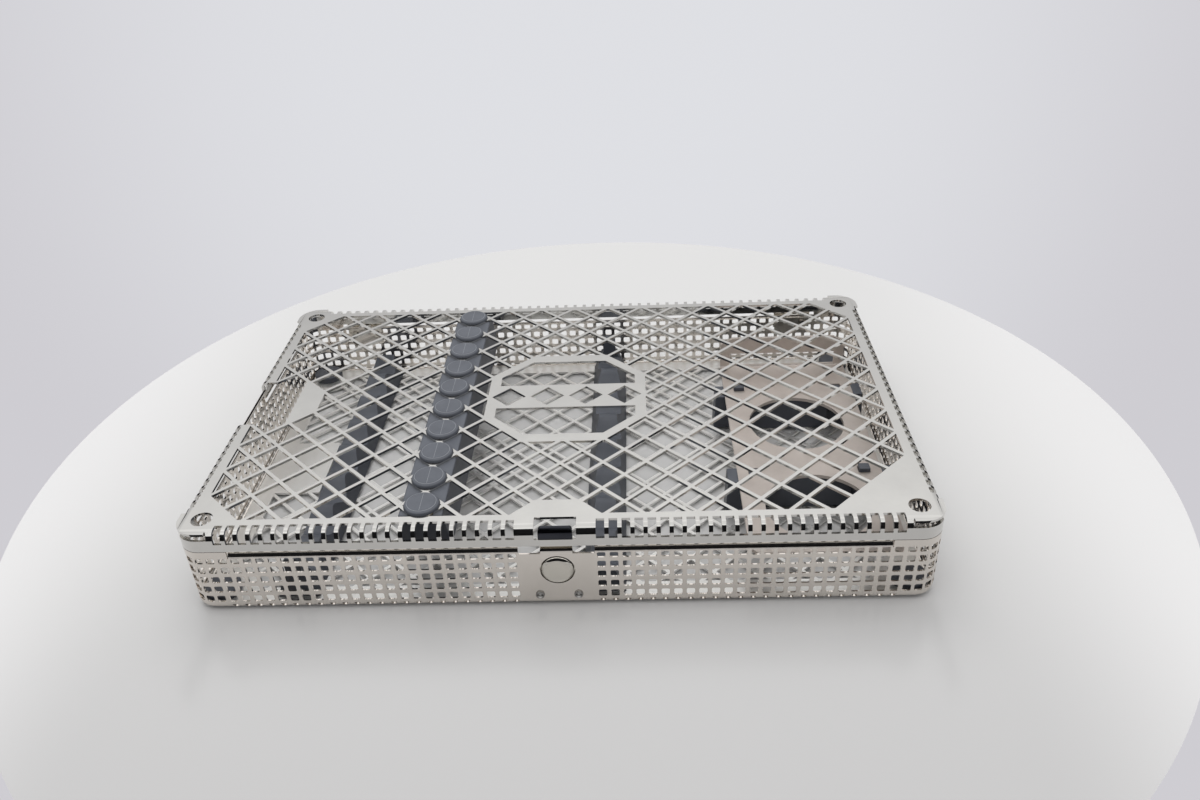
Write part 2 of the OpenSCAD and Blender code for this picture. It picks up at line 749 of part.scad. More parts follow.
module hinge_lid_leaves() {
    half = knuckle_l / 2 - part_clear;
    color(steel)
    two_hinges() {
        difference() {
            leaf_plate(-half, half, axis_z - hinge_leaf_t / 2, lid_leaf_top, pin_r + run_clear);
            translate([0, half_w - over, lid_rivet_z]) rotate([-90, 0, 0])
                cylinder(d = lid_rivet_d / 2, h = hinge_leaf_t + 2 * over);
        }
        knuckle(-half, half, pin_r + run_clear);
    }
}

module hinge_lid_rivets() {
    color(steel)
    two_hinges() translate([0, half_w + hinge_leaf_t, lid_rivet_z])
        mirror([0, 1, 0]) rivet(lid_rivet_d, hinge_leaf_t + sheet);
}

module lid_drawing() {
    lim_x = half_l - lid_border;
    lim_y = half_w - lid_border_front;
    difference() {
        rounded(half_l, half_w, corner_r);
        difference() {
            intersection() {
                span([-lim_x, -lim_y], [lim_x, lim_y]);
                union() for (p = lattice(lim_x, lim_y)) translate(p) diamond();
            }
            octagon(window_half_l, window_half_w, window_slant);
            front_patch();
            left_patch();
            corner_patches();
        }
        window_openings();
        for (y = plug_y) translate([hold_down_x, y]) circle(plug_stem_r);
        // Notch in the left edge
        span([-half_l - over, -notch_half], [-half_l + notch_l, notch_half]);
        for (x = [-1, 1], y = [-1, 1])
            translate([x * (half_l - corner_hole_in), y * (half_w - corner_hole_in)]) circle(corner_hole_r);
        // Slots over the bend on all four sides
        for (p = slot_columns_l) span([p - hole_w / 2, -half_w - over], [p + hole_w / 2, -half_w + slot_in]);
        for (p = slot_columns_rear) span([p - hole_w / 2, half_w - slot_in], [p + hole_w / 2, half_w + over]);
        for (p = slot_columns_w) {
            span([half_l - slot_in_side, p - hole_w / 2], [half_l + over, p + hole_w / 2]);
            if (abs(p) > side_notch_first)
                span([-half_l - over, p - hole_w / 2], [-half_l + slot_in_side, p + hole_w / 2]);
        }
        // Latch window
        span([-latch_window_half, -half_w - over], [latch_window_half, -half_w + latch_window_in]);
        // Relief cuts where the bend ends beside each corner
        for (m = [-1, 1], n = [-1, 1]) scale([m, n]) {
            span([slit_from_l - relief_w, half_w - bend_r], [slit_from_l, half_w + over]);
            span([half_l - bend_r, slit_from_w - relief_w], [half_l + over, slit_from_w]);
        }
    }
}

// An octagon with x + y = slant along its slanted sides
module octagon(hl, hw, slant) {
    c = slant - hw;
    d = slant - hl;
    polygon([[-c, -hw], [c, -hw], [hl, -d], [hl, d], [c, hw], [-c, hw], [-hl, d], [-hl, -d]]);
}

module window_openings() {
    in_l = window_half_l - window_bar_l;
    in_w = window_half_w - window_bar_w;
    difference() {
        octagon(in_l, in_w, window_slant - window_bar_s * sqrt(2));
        span([-in_l, -cross_half], [in_l, cross_half]);
    }
    for (k = [-3, -1, 1, 3]) translate([k * lattice_s, 0]) diamond();
}

module front_patch() {
    wide = 2 * lattice_s;
    high = lid_border_front + lattice_s;
    polygon([[-wide, -half_w], [wide, -half_w], [wide, -half_w + lid_border_front],
        [wide - lattice_s, -half_w + high], [-wide + lattice_s, -half_w + high],
        [-wide, -half_w + lid_border_front]]);
}

module left_patch() {
    x = -half_l + notch_l;
    tip = x + 11;
    edge = 12 * lattice_s;
    polygon([[-half_l, -notch_half - 1], [x, -x - edge], [tip, -tip - edge], [tip, tip + edge],
        [x, x + edge], [-half_l, notch_half + 1]]);
}

// Solid corners, each ending on one of the lattice's strips: the one at the front right is a strip larger
module corner_patches() {
    strip = floor((half_l + half_w - corner_leg) / lattice_pitch);
    for (c = [[1, -1, strip - 1], [-1, -1, strip], [1, 1, strip], [-1, 1, strip]]) {
        leg = half_l + half_w - c[2] * lattice_pitch;
        scale([c[0], c[1]]) polygon([[half_l, half_w], [half_l - leg, half_w], [half_l, half_w - leg]]);
    }
}

module lid_top() {
    color(steel) translate([0, 0, lid_under]) linear_extrude(sheet) lid_drawing();
}

// A flange of the lid, drawn flat, with its slots
module flange_drawing(end, places) {
    difference() {
        span([-end, flange_z], [end, lid_under]);
        for (p = places) span([p - hole_w / 2, lid_z - slot_down], [p + hole_w / 2, lid_z]);
        for (s = [-1, 1]) scale([s, 1]) span([end - slit_run, lid_z - slit_down], [end + over, lid_z]);
    }
}

module lid_front_flange() {
    color(steel) stand_front(half_w) difference() {
        flange_drawing(straight_l, slot_columns_l);
        span([-latch_window_half, bar_top], [latch_window_half, lid_z]);
    }
}

module lid_rear_flange() {
    color(steel) rotate(180)
    difference() {
        stand_front(half_w) flange_drawing(straight_l, slot_columns_rear);
        for (s = [-1, 1]) translate([s * hinge_x, -half_w + sheet / 2, lid_rivet_z]) rotate([90, 0, 0])
            cylinder(d = lid_rivet_d / 2, h = sheet + 2 * over, center = true);
    }
}

module lid_left_flange() {
    color(steel) rotate(-90) stand_front(half_l) difference() {
        flange_drawing(straight_w, [for (p = slot_columns_w) if (abs(p) > side_notch_first) p]);
        span([-notch_half, flange_z - over], [notch_half, lid_z]);
    }
}

module lid_right_flange() {
    color(steel) rotate(90) stand_front(half_l) flange_drawing(straight_w, slot_columns_w);
}

module lid_corner_bands() {
    color(steel) four_corners() corner_ring(flange_z, lid_z - slit_down, 0);
}

module hold_down_rail() {
    color(silicone)
    translate([hold_down_x, 0, lid_under]) rotate([90, 0, 0])
        linear_extrude(2 * (inner_w - hold_end_gap), center = true)
        polygon([[-rail_w / 2, 0], [rail_w / 2, 0], [hold_low_w / 2, -hold_h + 1],
            [hold_low_w / 2 - 1, -hold_h], [-hold_low_w / 2 + 1, -hold_h], [-hold_low_w / 2, -hold_h + 1]]);
}

// Plugs of the hold-down rail: domed heads on the lid and stems through its diamonds
module hold_down_heads() {
    color(silicone)
    for (y = plug_y) translate([hold_down_x, y, lid_z]) {
        translate([0, 0, -sheet]) cylinder(r = plug_stem_r, h = sheet);
        cylinder(d = head_d, h = head_h - head_edge);
        translate([0, 0, head_h - head_edge])
            cylinder(d1 = head_d, d2 = head_d - 3 * head_edge, h = head_edge);
    }
}

tray_floor();
tray_front_wall();
tray_rear_wall();
tray_left_wall();
tray_right_wall();
tray_corners();
tray_rim();
tray_notch_wall();
corner_feet();
left_rail();
centre_rail();
left_rail_plugs();
centre_rail_plugs();
cup_plate();
cup_plate_back();
cup_plate_legs();
cup_plate_bars();
latch_foot();
latch_rivets();
hinge_tray_leaves();
hinge_tray_rivets();
hinge_pins();
latch_leaf();
latch_button();
latch_tongue();
lid_top();
lid_front_flange();
lid_rear_flange();
lid_left_flange();
lid_right_flange();
lid_corner_bands();
hinge_lid_leaves();
hinge_lid_rivets();
hold_down_rail();
hold_down_heads();
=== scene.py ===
# %% [markdown]
# # Dental instrument cassette
# A cassette is a flat steel case in which a dentist's hand instruments are washed, sterilised and carried.
# This lesson dresses its exact solids for a render: thin folded sheet, a pierced lattice lid, soft silicone
# rails, a cup plate and a push-button latch. The solids stay the frame: they give every size and place,
# and each new piece is made in millimetres and scaled to metres as it is finished.

import math

import bmesh
import bpy
from mathutils import Matrix, Vector


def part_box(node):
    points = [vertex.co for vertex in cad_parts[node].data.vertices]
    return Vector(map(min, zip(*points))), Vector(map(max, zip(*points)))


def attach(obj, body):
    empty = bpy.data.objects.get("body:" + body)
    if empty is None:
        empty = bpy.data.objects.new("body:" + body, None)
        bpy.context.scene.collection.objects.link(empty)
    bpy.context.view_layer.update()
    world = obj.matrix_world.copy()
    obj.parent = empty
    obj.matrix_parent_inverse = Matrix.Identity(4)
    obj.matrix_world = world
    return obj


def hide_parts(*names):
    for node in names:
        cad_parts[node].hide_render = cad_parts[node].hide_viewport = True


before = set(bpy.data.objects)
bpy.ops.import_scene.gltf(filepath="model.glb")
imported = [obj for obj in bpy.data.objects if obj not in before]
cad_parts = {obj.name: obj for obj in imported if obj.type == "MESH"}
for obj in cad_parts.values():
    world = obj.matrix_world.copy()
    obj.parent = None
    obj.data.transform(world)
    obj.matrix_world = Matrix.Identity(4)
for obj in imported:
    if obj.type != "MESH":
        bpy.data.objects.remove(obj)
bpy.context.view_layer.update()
MM = 0.001
print("solids:", len(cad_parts))

# %% [markdown]
# A camera comes first, so that each piece can be looked at as soon as it is made. It stands in front of the
# latch, a little to the right, and looks down at about thirty degrees. Its three directions are written out
# as the columns of a turn, because the real camera was also tilted by a couple of degrees.

# %% Camera
camera_data = bpy.data.cameras.new("camera")
camera_data.lens = 29.88
camera_data.sensor_width = 36
camera_data.clip_start = 0.01
camera = bpy.data.objects.new("camera", camera_data)
bpy.context.scene.collection.objects.link(camera)
bpy.context.scene.camera = camera
CAMERA_PLACE = Vector((31.618, -366.504, 262.142))
CAMERA_RIGHT = Vector((0.99891026, 0.02115697, -0.04160149))
CAMERA_UP = Vector((0.02413875, 0.52868493, 0.84847485))
CAMERA_BACK = Vector((0.03994523, -0.84855443, 0.5275981))
turn = Matrix((CAMERA_RIGHT, CAMERA_UP, CAMERA_BACK)).transposed().to_4x4()
camera.matrix_world = Matrix.Translation(CAMERA_PLACE * MM) @ turn
print("camera at", [round(c) for c in CAMERA_PLACE], "mm")

# %% [markdown]
# The sizes that the new pieces share are read from the solids where a solid gives them. What a solid can't
# give, such as the pitch of the holes in the walls, is written here once, in millimetres. A bend gets a flat
# edge beside it, a narrow strip that keeps the shading of the flat sheet flat.

# %% Sizes
def box_of(node):
    """Lowest and highest corner of a solid, in millimetres."""
    low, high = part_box(node)
    return low / MM, high / MM


HALF_L, HALF_W, LID_Z = box_of("lid_top")[1]
LID_UNDER = box_of("lid_top")[0].z
SHEET = LID_Z - LID_UNDER
FLOOR_LOW, FLOOR_TOP = box_of("tray_floor")[0].z, box_of("tray_floor")[1].z
RIM_Z = box_of("tray_rim")[1].z
RAISED_Z = box_of("tray_corners")[1].z
FLANGE_Z = box_of("lid_corner_bands")[0].z
BAND_TOP = box_of("lid_corner_bands")[1].z
CORNER_R = 9.0
STRAIGHT_L = HALF_L - CORNER_R
STRAIGHT_W = HALF_W - CORNER_R
HOLE_PITCH = 4.65
HOLE_W = 3.1
HOLE_H = 3.0
LATTICE_STEP = 8.35
FLAT_EDGE = 0.15
print("case", 2 * HALF_L, "x", 2 * HALF_W, "mm, lid top at", LID_Z, "mm, sheet", round(SHEET, 2), "mm")

# %% [markdown]
# Most pieces end in the same way: close doubled points, point the faces outwards, scale to metres, shade
# smooth with sharp folds, and ride on a body of the frame. One function does that for all of them.
# A second one starts a piece from a solid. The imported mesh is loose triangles, so a copy of it is merged
# and its flat faces are joined before anything is cut or rounded.

# %% Start and finish a piece
def finish_piece(name, bm, material, body, replaced=(), sharp=35, rounding=0.0, segments=2):
    bmesh.ops.remove_doubles(bm, verts=bm.verts, dist=0.002)
    bmesh.ops.recalc_face_normals(bm, faces=bm.faces)
    bmesh.ops.scale(bm, vec=(MM, MM, MM), verts=bm.verts)
    mesh = bpy.data.meshes.new(name)
    bm.to_mesh(mesh)
    bm.free()
    mesh.polygons.foreach_set("use_smooth", [True] * len(mesh.polygons))
    mesh.set_sharp_from_angle(angle=math.radians(sharp))
    mesh.materials.append(material)
    piece = bpy.data.objects.new(name, mesh)
    bpy.context.scene.collection.objects.link(piece)
    if rounding:
        bevel = piece.modifiers.new("rounding", "BEVEL")
        bevel.width = rounding * MM
        bevel.segments = segments
        bevel.limit_method = "ANGLE"
        bevel.angle_limit = math.radians(sharp)
        bevel.use_clamp_overlap = True
    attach(piece, body)
    if replaced:
        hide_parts(*replaced)
    print(name, "has", len(mesh.vertices), "points and", len(mesh.polygons), "faces")


def copy_of(node):
    bm = bmesh.new()
    bm.from_mesh(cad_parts[node].data)
    bmesh.ops.scale(bm, vec=(1 / MM, 1 / MM, 1 / MM), verts=bm.verts)
    bmesh.ops.remove_doubles(bm, verts=bm.verts, dist=0.002)
    bmesh.ops.dissolve_limit(bm, angle_limit=math.radians(0.5), verts=bm.verts, edges=bm.edges)
    return bm


# %% [markdown]
# The light is a plain pale studio: a bright sky of paper all round, darker towards the horizon. A narrow
# ring high up is brighter, as from lamps behind the paper. Matt surfaces get some more light from above,
# and the Light Path node keeps that extra light out of mirror reflections. By the same node the camera
# sees a plain pale backdrop and not the paper. A few small helpers keep the node trees short.

# %% Node helpers
def fill(tree, node, **inputs):
    """Link each named input to a socket, or set it to a value."""
    for name, value in inputs.items():
        target = node.inputs[name.replace("_", " ")]
        if isinstance(value, bpy.types.NodeSocket):
            tree.links.new(value, target)
        else:
            target.default_value = value


def add_node(tree, kind, settings=None, **inputs):
    node = tree.nodes.new(kind)
    for name, value in (settings or {}).items():
        setattr(node, name, value)
    fill(tree, node, **inputs)
    return node


def mixed(tree, factor, first, second):
    node = add_node(tree, "ShaderNodeMix", {"data_type": "RGBA"}, Factor=factor, A=first, B=second)
    return node.outputs["Result"]


def ranged(tree, value, low=0.0, high=1.0, to=(0.0, 1.0), kind="LINEAR"):
    """The value from low to high, spread over the range that to gives."""
    node = add_node(tree, "ShaderNodeMapRange", {"interpolation_type": kind}, Value=value,
                    From_Min=low, From_Max=high, To_Min=to[0], To_Max=to[1])
    return node.outputs["Result"]


def product(tree, first, second):
    node = add_node(tree, "ShaderNodeMath", {"operation": "MULTIPLY"})
    tree.links.new(first, node.inputs[0])
    tree.links.new(second, node.inputs[1])
    return node.outputs[0]


# %% Studio sky
scene = bpy.context.scene
scene.view_settings.view_transform = "Standard"
world = bpy.data.worlds.new("studio")
scene.world = world
world.use_nodes = True
world.cycles.sampling_method = "NONE"
sky = world.node_tree
sky.nodes.clear()
direction = add_node(sky, "ShaderNodeTexCoord")
height = add_node(sky, "ShaderNodeSeparateXYZ", Vector=direction.outputs["Generated"])
paper = add_node(sky, "ShaderNodeValToRGB", Fac=height.outputs["Z"])
# Height of each step, from the horizon at 0 to straight overhead at 1, and how bright the paper is there.
PAPER_STEPS = [(0.42, (0.7, 0.7, 0.71)), (0.83, (1.08, 1.08, 1.08)), (0.87, (1.5, 1.5, 1.5)),
               (0.91, (1.02, 1.02, 1.02)), (1.0, (1.02, 1.02, 1.02))]
paper.color_ramp.elements[0].color = (0.5, 0.5, 0.51, 1)
paper.color_ramp.elements[1].position = 0.66
paper.color_ramp.elements[1].color = (1.12, 1.12, 1.12, 1)
for step_height, step_color in PAPER_STEPS:
    paper.color_ramp.elements.new(step_height).color = (*step_color, 1)
rays = add_node(sky, "ShaderNodeLightPath")
overhead = ranged(sky, height.outputs["Z"], 0.7, 1.0, to=(0.0, 0.9))
matt_only = product(sky, overhead, rays.outputs["Is Diffuse Ray"])
lit_paper = mixed(sky, matt_only, paper.outputs["Color"], (2.1, 2.1, 2.1, 1))
BACKDROP_MIDDLE = Vector((-0.04, 0.98, -0.19)).normalized()
BACKDROP_REACH = math.radians(36)
BACKDROP_EDGE = (0.62, 0.61, 0.645, 1)
BACKDROP_CENTRE = (0.735, 0.742, 0.775, 1)
aside = add_node(sky, "ShaderNodeVectorMath", {"operation": "DOT_PRODUCT"})
aside.inputs[1].default_value = BACKDROP_MIDDLE
sky.links.new(direction.outputs["Generated"], aside.inputs[0])
falloff = ranged(sky, aside.outputs["Value"], math.cos(BACKDROP_REACH), 1.0, kind="SMOOTHSTEP")
backdrop = add_node(sky, "ShaderNodeBackground", Color=mixed(sky, falloff, BACKDROP_EDGE, BACKDROP_CENTRE))
room = add_node(sky, "ShaderNodeBackground", Color=lit_paper)
seen = add_node(sky, "ShaderNodeMixShader", Fac=rays.outputs["Is Camera Ray"])
sky.links.new(room.outputs[0], seen.inputs[1])
sky.links.new(backdrop.outputs[0], seen.inputs[2])
add_node(sky, "ShaderNodeOutputWorld", Surface=seen.outputs[0])
print("sky made of", len(sky.nodes), "nodes")

# %% Soft lamp behind and above
lamp_data = bpy.data.lights.new("soft_lamp", "AREA")
lamp_data.shape = "DISK"
lamp_data.size = 0.7
lamp_data.energy = 2.5
lamp = bpy.data.objects.new("soft_lamp", lamp_data)
scene.collection.objects.link(lamp)
lamp.location = (-0.1, 0.45, 0.9)
lamp.rotation_euler = (Vector((0, 0, 0)) - Vector(lamp.location)).to_track_quat("-Z", "Y").to_euler()
lamp.visible_glossy = False
print("lamp at", [round(c, 2) for c in lamp.location])

# %% [markdown]
# The case stands on a round pale table whose far edge is the horizon in the picture. Its top is painted a
# little darker in front of the case, as painted shade, and lighter at both ends, as painted light. The table
# is stage, so it isn't counted as part of the object.

# %% Table
TABLE_MIDDLE = Vector((8, 5, 0))
TABLE_R = 249
# The paper's own tone is the rear one. In front of the case it is painted darker as painted shade, and at
# both ends lighter as painted light.
SHADED_FRONT_TONE = (0.425, 0.421, 0.421)
REAR_TONE = (0.54, 0.537, 0.533)
LIT_END_TONE = (0.61, 0.605, 0.605)


def plain_material(name, color, roughness):
    material = bpy.data.materials.new(name)
    material.use_nodes = True
    shader = material.node_tree.nodes["Principled BSDF"]
    shader.inputs["Base Color"].default_value = (*color, 1)
    shader.inputs["Roughness"].default_value = roughness
    return material


bm = bmesh.new()
bmesh.ops.create_circle(bm, cap_ends=True, radius=TABLE_R, segments=256)
bmesh.ops.translate(bm, vec=TABLE_MIDDLE, verts=bm.verts)
bmesh.ops.scale(bm, vec=(MM, MM, MM), verts=bm.verts)
table_mesh = bpy.data.meshes.new("table")
bm.to_mesh(table_mesh)
bm.free()
table_paper = plain_material("table_paper", REAR_TONE, 0.2)
tree = table_paper.node_tree
table_place = add_node(tree, "ShaderNodeTexCoord")
table_axes = add_node(tree, "ShaderNodeSeparateXYZ", Vector=table_place.outputs["Object"])
# Painted shade towards the front of the case and painted light towards both ends.
away = ranged(tree, table_axes.outputs["Y"], -0.2, 0.06, kind="SMOOTHSTEP")
aside_x = add_node(tree, "ShaderNodeMath", {"operation": "ABSOLUTE"})
tree.links.new(table_axes.outputs["X"], aside_x.inputs[0])
lit_ends = ranged(tree, aside_x.outputs[0], 0.15, 0.25, kind="SMOOTHSTEP")
shaded_front_to_rear = mixed(tree, away, (*SHADED_FRONT_TONE, 1), (*REAR_TONE, 1))
painted_light_and_shade = mixed(tree, lit_ends, shaded_front_to_rear, (*LIT_END_TONE, 1))
tree.links.new(painted_light_and_shade, tree.nodes["Principled BSDF"].inputs["Base Color"])
table_mesh.materials.append(table_paper)
table = bpy.data.objects.new("table", table_mesh)
scene.collection.objects.link(table)
print("table of radius", TABLE_R, "mm")

# %% [markdown]
# Polished steel shows what it faces, and in plain white paper its folds would vanish. A photographer stands
# black cards close to such a piece, so that each rolled edge gets a dark line. The cards here do the same:
# only mirror reflections see them, and only from the side of the case. They are stage too.

# %% Black cards round the case
card_black = plain_material("card_black", (0.008, 0.008, 0.01), 1.0)
tree = card_black.node_tree
card_side = add_node(tree, "ShaderNodeNewGeometry")
see_through = add_node(tree, "ShaderNodeBsdfTransparent")
either = add_node(tree, "ShaderNodeMixShader", Fac=card_side.outputs["Backfacing"])
tree.links.new(tree.nodes["Principled BSDF"].outputs[0], either.inputs[1])
tree.links.new(see_through.outputs[0], either.inputs[2])
tree.links.new(either.outputs[0], tree.nodes["Material Output"].inputs["Surface"])


def black_card(name, start, end, low, high):
    """An upright card from start to end, facing the case, between two heights."""
    bm = bmesh.new()
    corners = [(*start, low), (*end, low), (*end, high), (*start, high)]
    face = bm.faces.new([bm.verts.new(Vector(c) * MM) for c in corners])
    face.normal_update()
    middle = face.calc_center_median()
    to_case = Vector((0, 0, middle.z)) - middle
    if face.normal.dot(to_case) < 0:
        bmesh.ops.reverse_faces(bm, faces=bm.faces)
    mesh = bpy.data.meshes.new(name)
    bm.to_mesh(mesh)
    bm.free()
    mesh.materials.append(card_black)
    card = bpy.data.objects.new(name, mesh)
    scene.collection.objects.link(card)
    for ray in ("camera", "diffuse", "shadow", "transmission", "volume_scatter"):
        setattr(card, "visible_" + ray, False)


CARD_GAP = 10
FRONT_OVERHANG = 8
FRONT_LOW, FRONT_HIGH = LID_Z - 11, LID_Z + 12.5
SIDE_LOW, SIDE_HIGH = LID_Z - 7, LID_Z + 6
card_x, card_y = HALF_L + CARD_GAP, HALF_W + CARD_GAP
front_x = card_x + FRONT_OVERHANG
black_card("front_card", (-front_x, -card_y), (front_x, -card_y), FRONT_LOW, FRONT_HIGH)
black_card("left_card", (-card_x, -card_y), (-card_x, card_y), SIDE_LOW, SIDE_HIGH)
black_card("right_card", (card_x, -card_y), (card_x, card_y), SIDE_LOW, SIDE_HIGH)
print("three black cards,", CARD_GAP, "mm from the case")

# %% [markdown]
# Two effects are used by more than one finish. One is the fine mottling of handled steel, with faint
# polishing lines. The other is a dusty film on silicone, in clouds that are thicker where the silicone faces
# up, which also paints the tops paler as painted light and leaves the sides darker as painted shade. Each is
# a node group with named sockets, so every material places it with its own values.

# %% Node group for handled steel
def new_group(name, inputs, outputs):
    tree = bpy.data.node_groups.new(name, "ShaderNodeTree")
    for socket, kind, value in inputs:
        made = tree.interface.new_socket(socket, in_out="INPUT", socket_type=kind)
        made.default_value = value
    for socket, kind in outputs:
        tree.interface.new_socket(socket, in_out="OUTPUT", socket_type=kind)
    return tree, tree.nodes.new("NodeGroupInput"), tree.nodes.new("NodeGroupOutput")


FLOAT, COLOR, VECTOR = "NodeSocketFloat", "NodeSocketColor", "NodeSocketVector"
handled, given, result = new_group(
    "handled_steel",
    [("Light", COLOR, (0.63, 0.61, 0.58, 1)), ("Dull", COLOR, (0.55, 0.53, 0.50, 1)),
     ("Smooth", FLOAT, 0.12), ("Rough", FLOAT, 0.24), ("Stretch", VECTOR, (40, 2500, 2500))],
    [("Color", COLOR), ("Roughness", FLOAT), ("Height", FLOAT)])
place = add_node(handled, "ShaderNodeTexCoord")
patches = add_node(handled, "ShaderNodeTexNoise", Vector=place.outputs["Object"],
                   Scale=55.0, Detail=4.0, Roughness=0.6)
stretch = add_node(handled, "ShaderNodeVectorMath", {"operation": "MULTIPLY"})
handled.links.new(place.outputs["Object"], stretch.inputs[0])
handled.links.new(given.outputs["Stretch"], stretch.inputs[1])
lines = add_node(handled, "ShaderNodeTexNoise", Vector=stretch.outputs[0],
                 Scale=1.0, Detail=3.0, Roughness=0.55)
even = ranged(handled, patches.outputs["Fac"], 0.3, 0.7)
tone = mixed(handled, even, given.outputs["Light"], given.outputs["Dull"])
worn = product(handled, even, lines.outputs["Fac"])
gloss = ranged(handled, worn, to=(given.outputs["Smooth"], given.outputs["Rough"]))
fill(handled, result, Color=tone, Roughness=gloss, Height=lines.outputs["Fac"])
print("group", handled.name, "has", len(handled.nodes), "nodes")

# %% Node group for silicone: dust and painted top light
silicone_dust_and_light, given, result = new_group(
    "silicone_bloom_and_top_light",
    [("Body", COLOR, (0.048, 0.053, 0.066, 1)), ("Dust", COLOR, (0.155, 0.168, 0.195, 1)),
     ("Amount", FLOAT, 0.3)],
    [("Color", COLOR), ("Roughness", FLOAT), ("Height", FLOAT)])
place = add_node(silicone_dust_and_light, "ShaderNodeTexCoord")
clouds = add_node(silicone_dust_and_light, "ShaderNodeTexNoise", Vector=place.outputs["Object"],
                  Scale=120.0, Detail=5.0, Roughness=0.6)
specks = add_node(silicone_dust_and_light, "ShaderNodeTexNoise", Vector=place.outputs["Object"],
                  Scale=2200.0, Detail=2.0, Roughness=0.5)
faces = add_node(silicone_dust_and_light, "ShaderNodeNewGeometry")
faces_up = add_node(silicone_dust_and_light, "ShaderNodeSeparateXYZ", Vector=faces.outputs["Normal"])
# Faces that point up get more of the pale colour: partly dust that settles there, partly painted light on the
# tops, with the sides left darker as painted shade.
dust_and_top_light = ranged(silicone_dust_and_light, faces_up.outputs["Z"], 0.35, 1.0, to=(0.2, 2.0), kind="SMOOTHSTEP")
cloudy = product(silicone_dust_and_light, clouds.outputs["Fac"], dust_and_top_light)
amount = product(silicone_dust_and_light, cloudy, given.outputs["Amount"])
tone = mixed(silicone_dust_and_light, amount, given.outputs["Body"], given.outputs["Dust"])
matte = ranged(silicone_dust_and_light, clouds.outputs["Fac"], to=(0.38, 0.55))
fill(silicone_dust_and_light, result, Color=tone, Roughness=matte, Height=specks.outputs["Fac"])
print("group", silicone_dust_and_light.name, "has", len(silicone_dust_and_light.nodes), "nodes")

# %% Finishes
def finish_from(group, name, metallic, bump, **values):
    material = bpy.data.materials.new(name)
    material.use_nodes = True
    tree = material.node_tree
    shader = tree.nodes["Principled BSDF"]
    effect = add_node(tree, "ShaderNodeGroup", {"node_tree": group}, **values)
    relief = add_node(tree, "ShaderNodeBump", Strength=bump, Distance=0.02 * MM,
                      Height=effect.outputs["Height"])
    fill(tree, shader, Base_Color=effect.outputs["Color"], Roughness=effect.outputs["Roughness"],
         Normal=relief.outputs["Normal"], Metallic=metallic)
    return material


lid_steel = finish_from(handled, "lid_steel", 1, 0.05, Light=(0.65, 0.64, 0.615, 1),
                        Dull=(0.6, 0.59, 0.57, 1), Smooth=0.045, Rough=0.09)
tray_steel = finish_from(handled, "tray_steel", 1, 0.05, Light=(0.735, 0.688, 0.64, 1),
                         Dull=(0.675, 0.635, 0.585, 1), Smooth=0.06, Rough=0.11)
floor_steel = finish_from(handled, "floor_steel", 0.8, 0.03, Light=(0.84, 0.83, 0.81, 1),
                          Dull=(0.8, 0.79, 0.77, 1), Smooth=0.34, Rough=0.44)
plate_steel = finish_from(handled, "plate_steel", 1, 0.2, Light=(0.73, 0.665, 0.62, 1),
                          Dull=(0.61, 0.555, 0.515, 1), Smooth=0.5, Rough=0.62)
spring_steel = finish_from(handled, "spring_steel", 1, 0.05, Light=(0.67, 0.64, 0.58, 1),
                           Dull=(0.6, 0.575, 0.52, 1), Smooth=0.08, Rough=0.15)
# The latch rivets' steel is painted dark, standing in for the dark reflections in their domed heads.
dark_reflection_rivet_steel = finish_from(handled, "dark_reflection_rivet_steel", 1, 0.05, Light=(0.3, 0.295, 0.285, 1),
                          Dull=(0.24, 0.235, 0.225, 1), Smooth=0.06, Rough=0.1)
tongue_steel = finish_from(handled, "dark_spring_steel", 1, 0.05, Light=(0.055, 0.058, 0.07, 1),
                           Dull=(0.04, 0.042, 0.05, 1), Smooth=0.2, Rough=0.3)
# Both silicone finishes get the group's painted light on faces that point up.
silicone = finish_from(silicone_dust_and_light, "blue_grey_silicone", 0, 0.4)
seam_silicone = finish_from(silicone_dust_and_light, "pale_seam_silicone", 0, 0.4, Body=(0.16, 0.17, 0.19, 1),
                            Dust=(0.3, 0.31, 0.33, 1))
print("finishes:", [m.name for m in bpy.data.materials])

# %% [markdown]
# The tray is one sheet: pierced while it is flat, then folded up. It is made the same way here. A long flat
# ribbon holds all four walls side by side, with the distance round the case along X and the height up the
# wall along Y. It is filled with small cells, each with its own square hole, and cut where it will bend.
# Then it gets its thickness, and each point is moved to its place round the case.

# %% Round the outline
ARC = CORNER_R * math.pi / 2
RUNS = [STRAIGHT_L, 2 * STRAIGHT_W, 2 * STRAIGHT_L, 2 * STRAIGHT_W, STRAIGHT_L]
ROUND = sum(RUNS) + 4 * ARC
LEFT_S = STRAIGHT_L + ARC + STRAIGHT_W
FRONT_S = ROUND / 2
RIGHT_S = ROUND - LEFT_S


def walk(s):
    """Middle of the corner's curve or its straight continuation, and the way that the wall faces there."""
    core = Vector((0, STRAIGHT_W))
    angle = math.pi / 2
    for run in RUNS:
        ahead = Vector((-math.sin(angle), math.cos(angle)))
        if s <= run:
            return core + ahead * s, angle
        core += ahead * run
        s -= run
        if s <= ARC:
            return core, angle + s / CORNER_R
        s -= ARC
        angle += math.pi / 2
    return core, angle


def place_round(s, inward, z):
    """A point at height z, so far inside the case's outline."""
    core, angle = walk(min(max(s, 0), ROUND))
    reach = CORNER_R - inward
    return Vector((core.x + math.cos(angle) * reach, core.y + math.sin(angle) * reach, z))


def both_ways(middle, places):
    """Each place measured from the middle to both sides."""
    return [middle + side * p for p in places for side in (-1, 1)]


print("way round the case:", round(ROUND, 1), "mm")

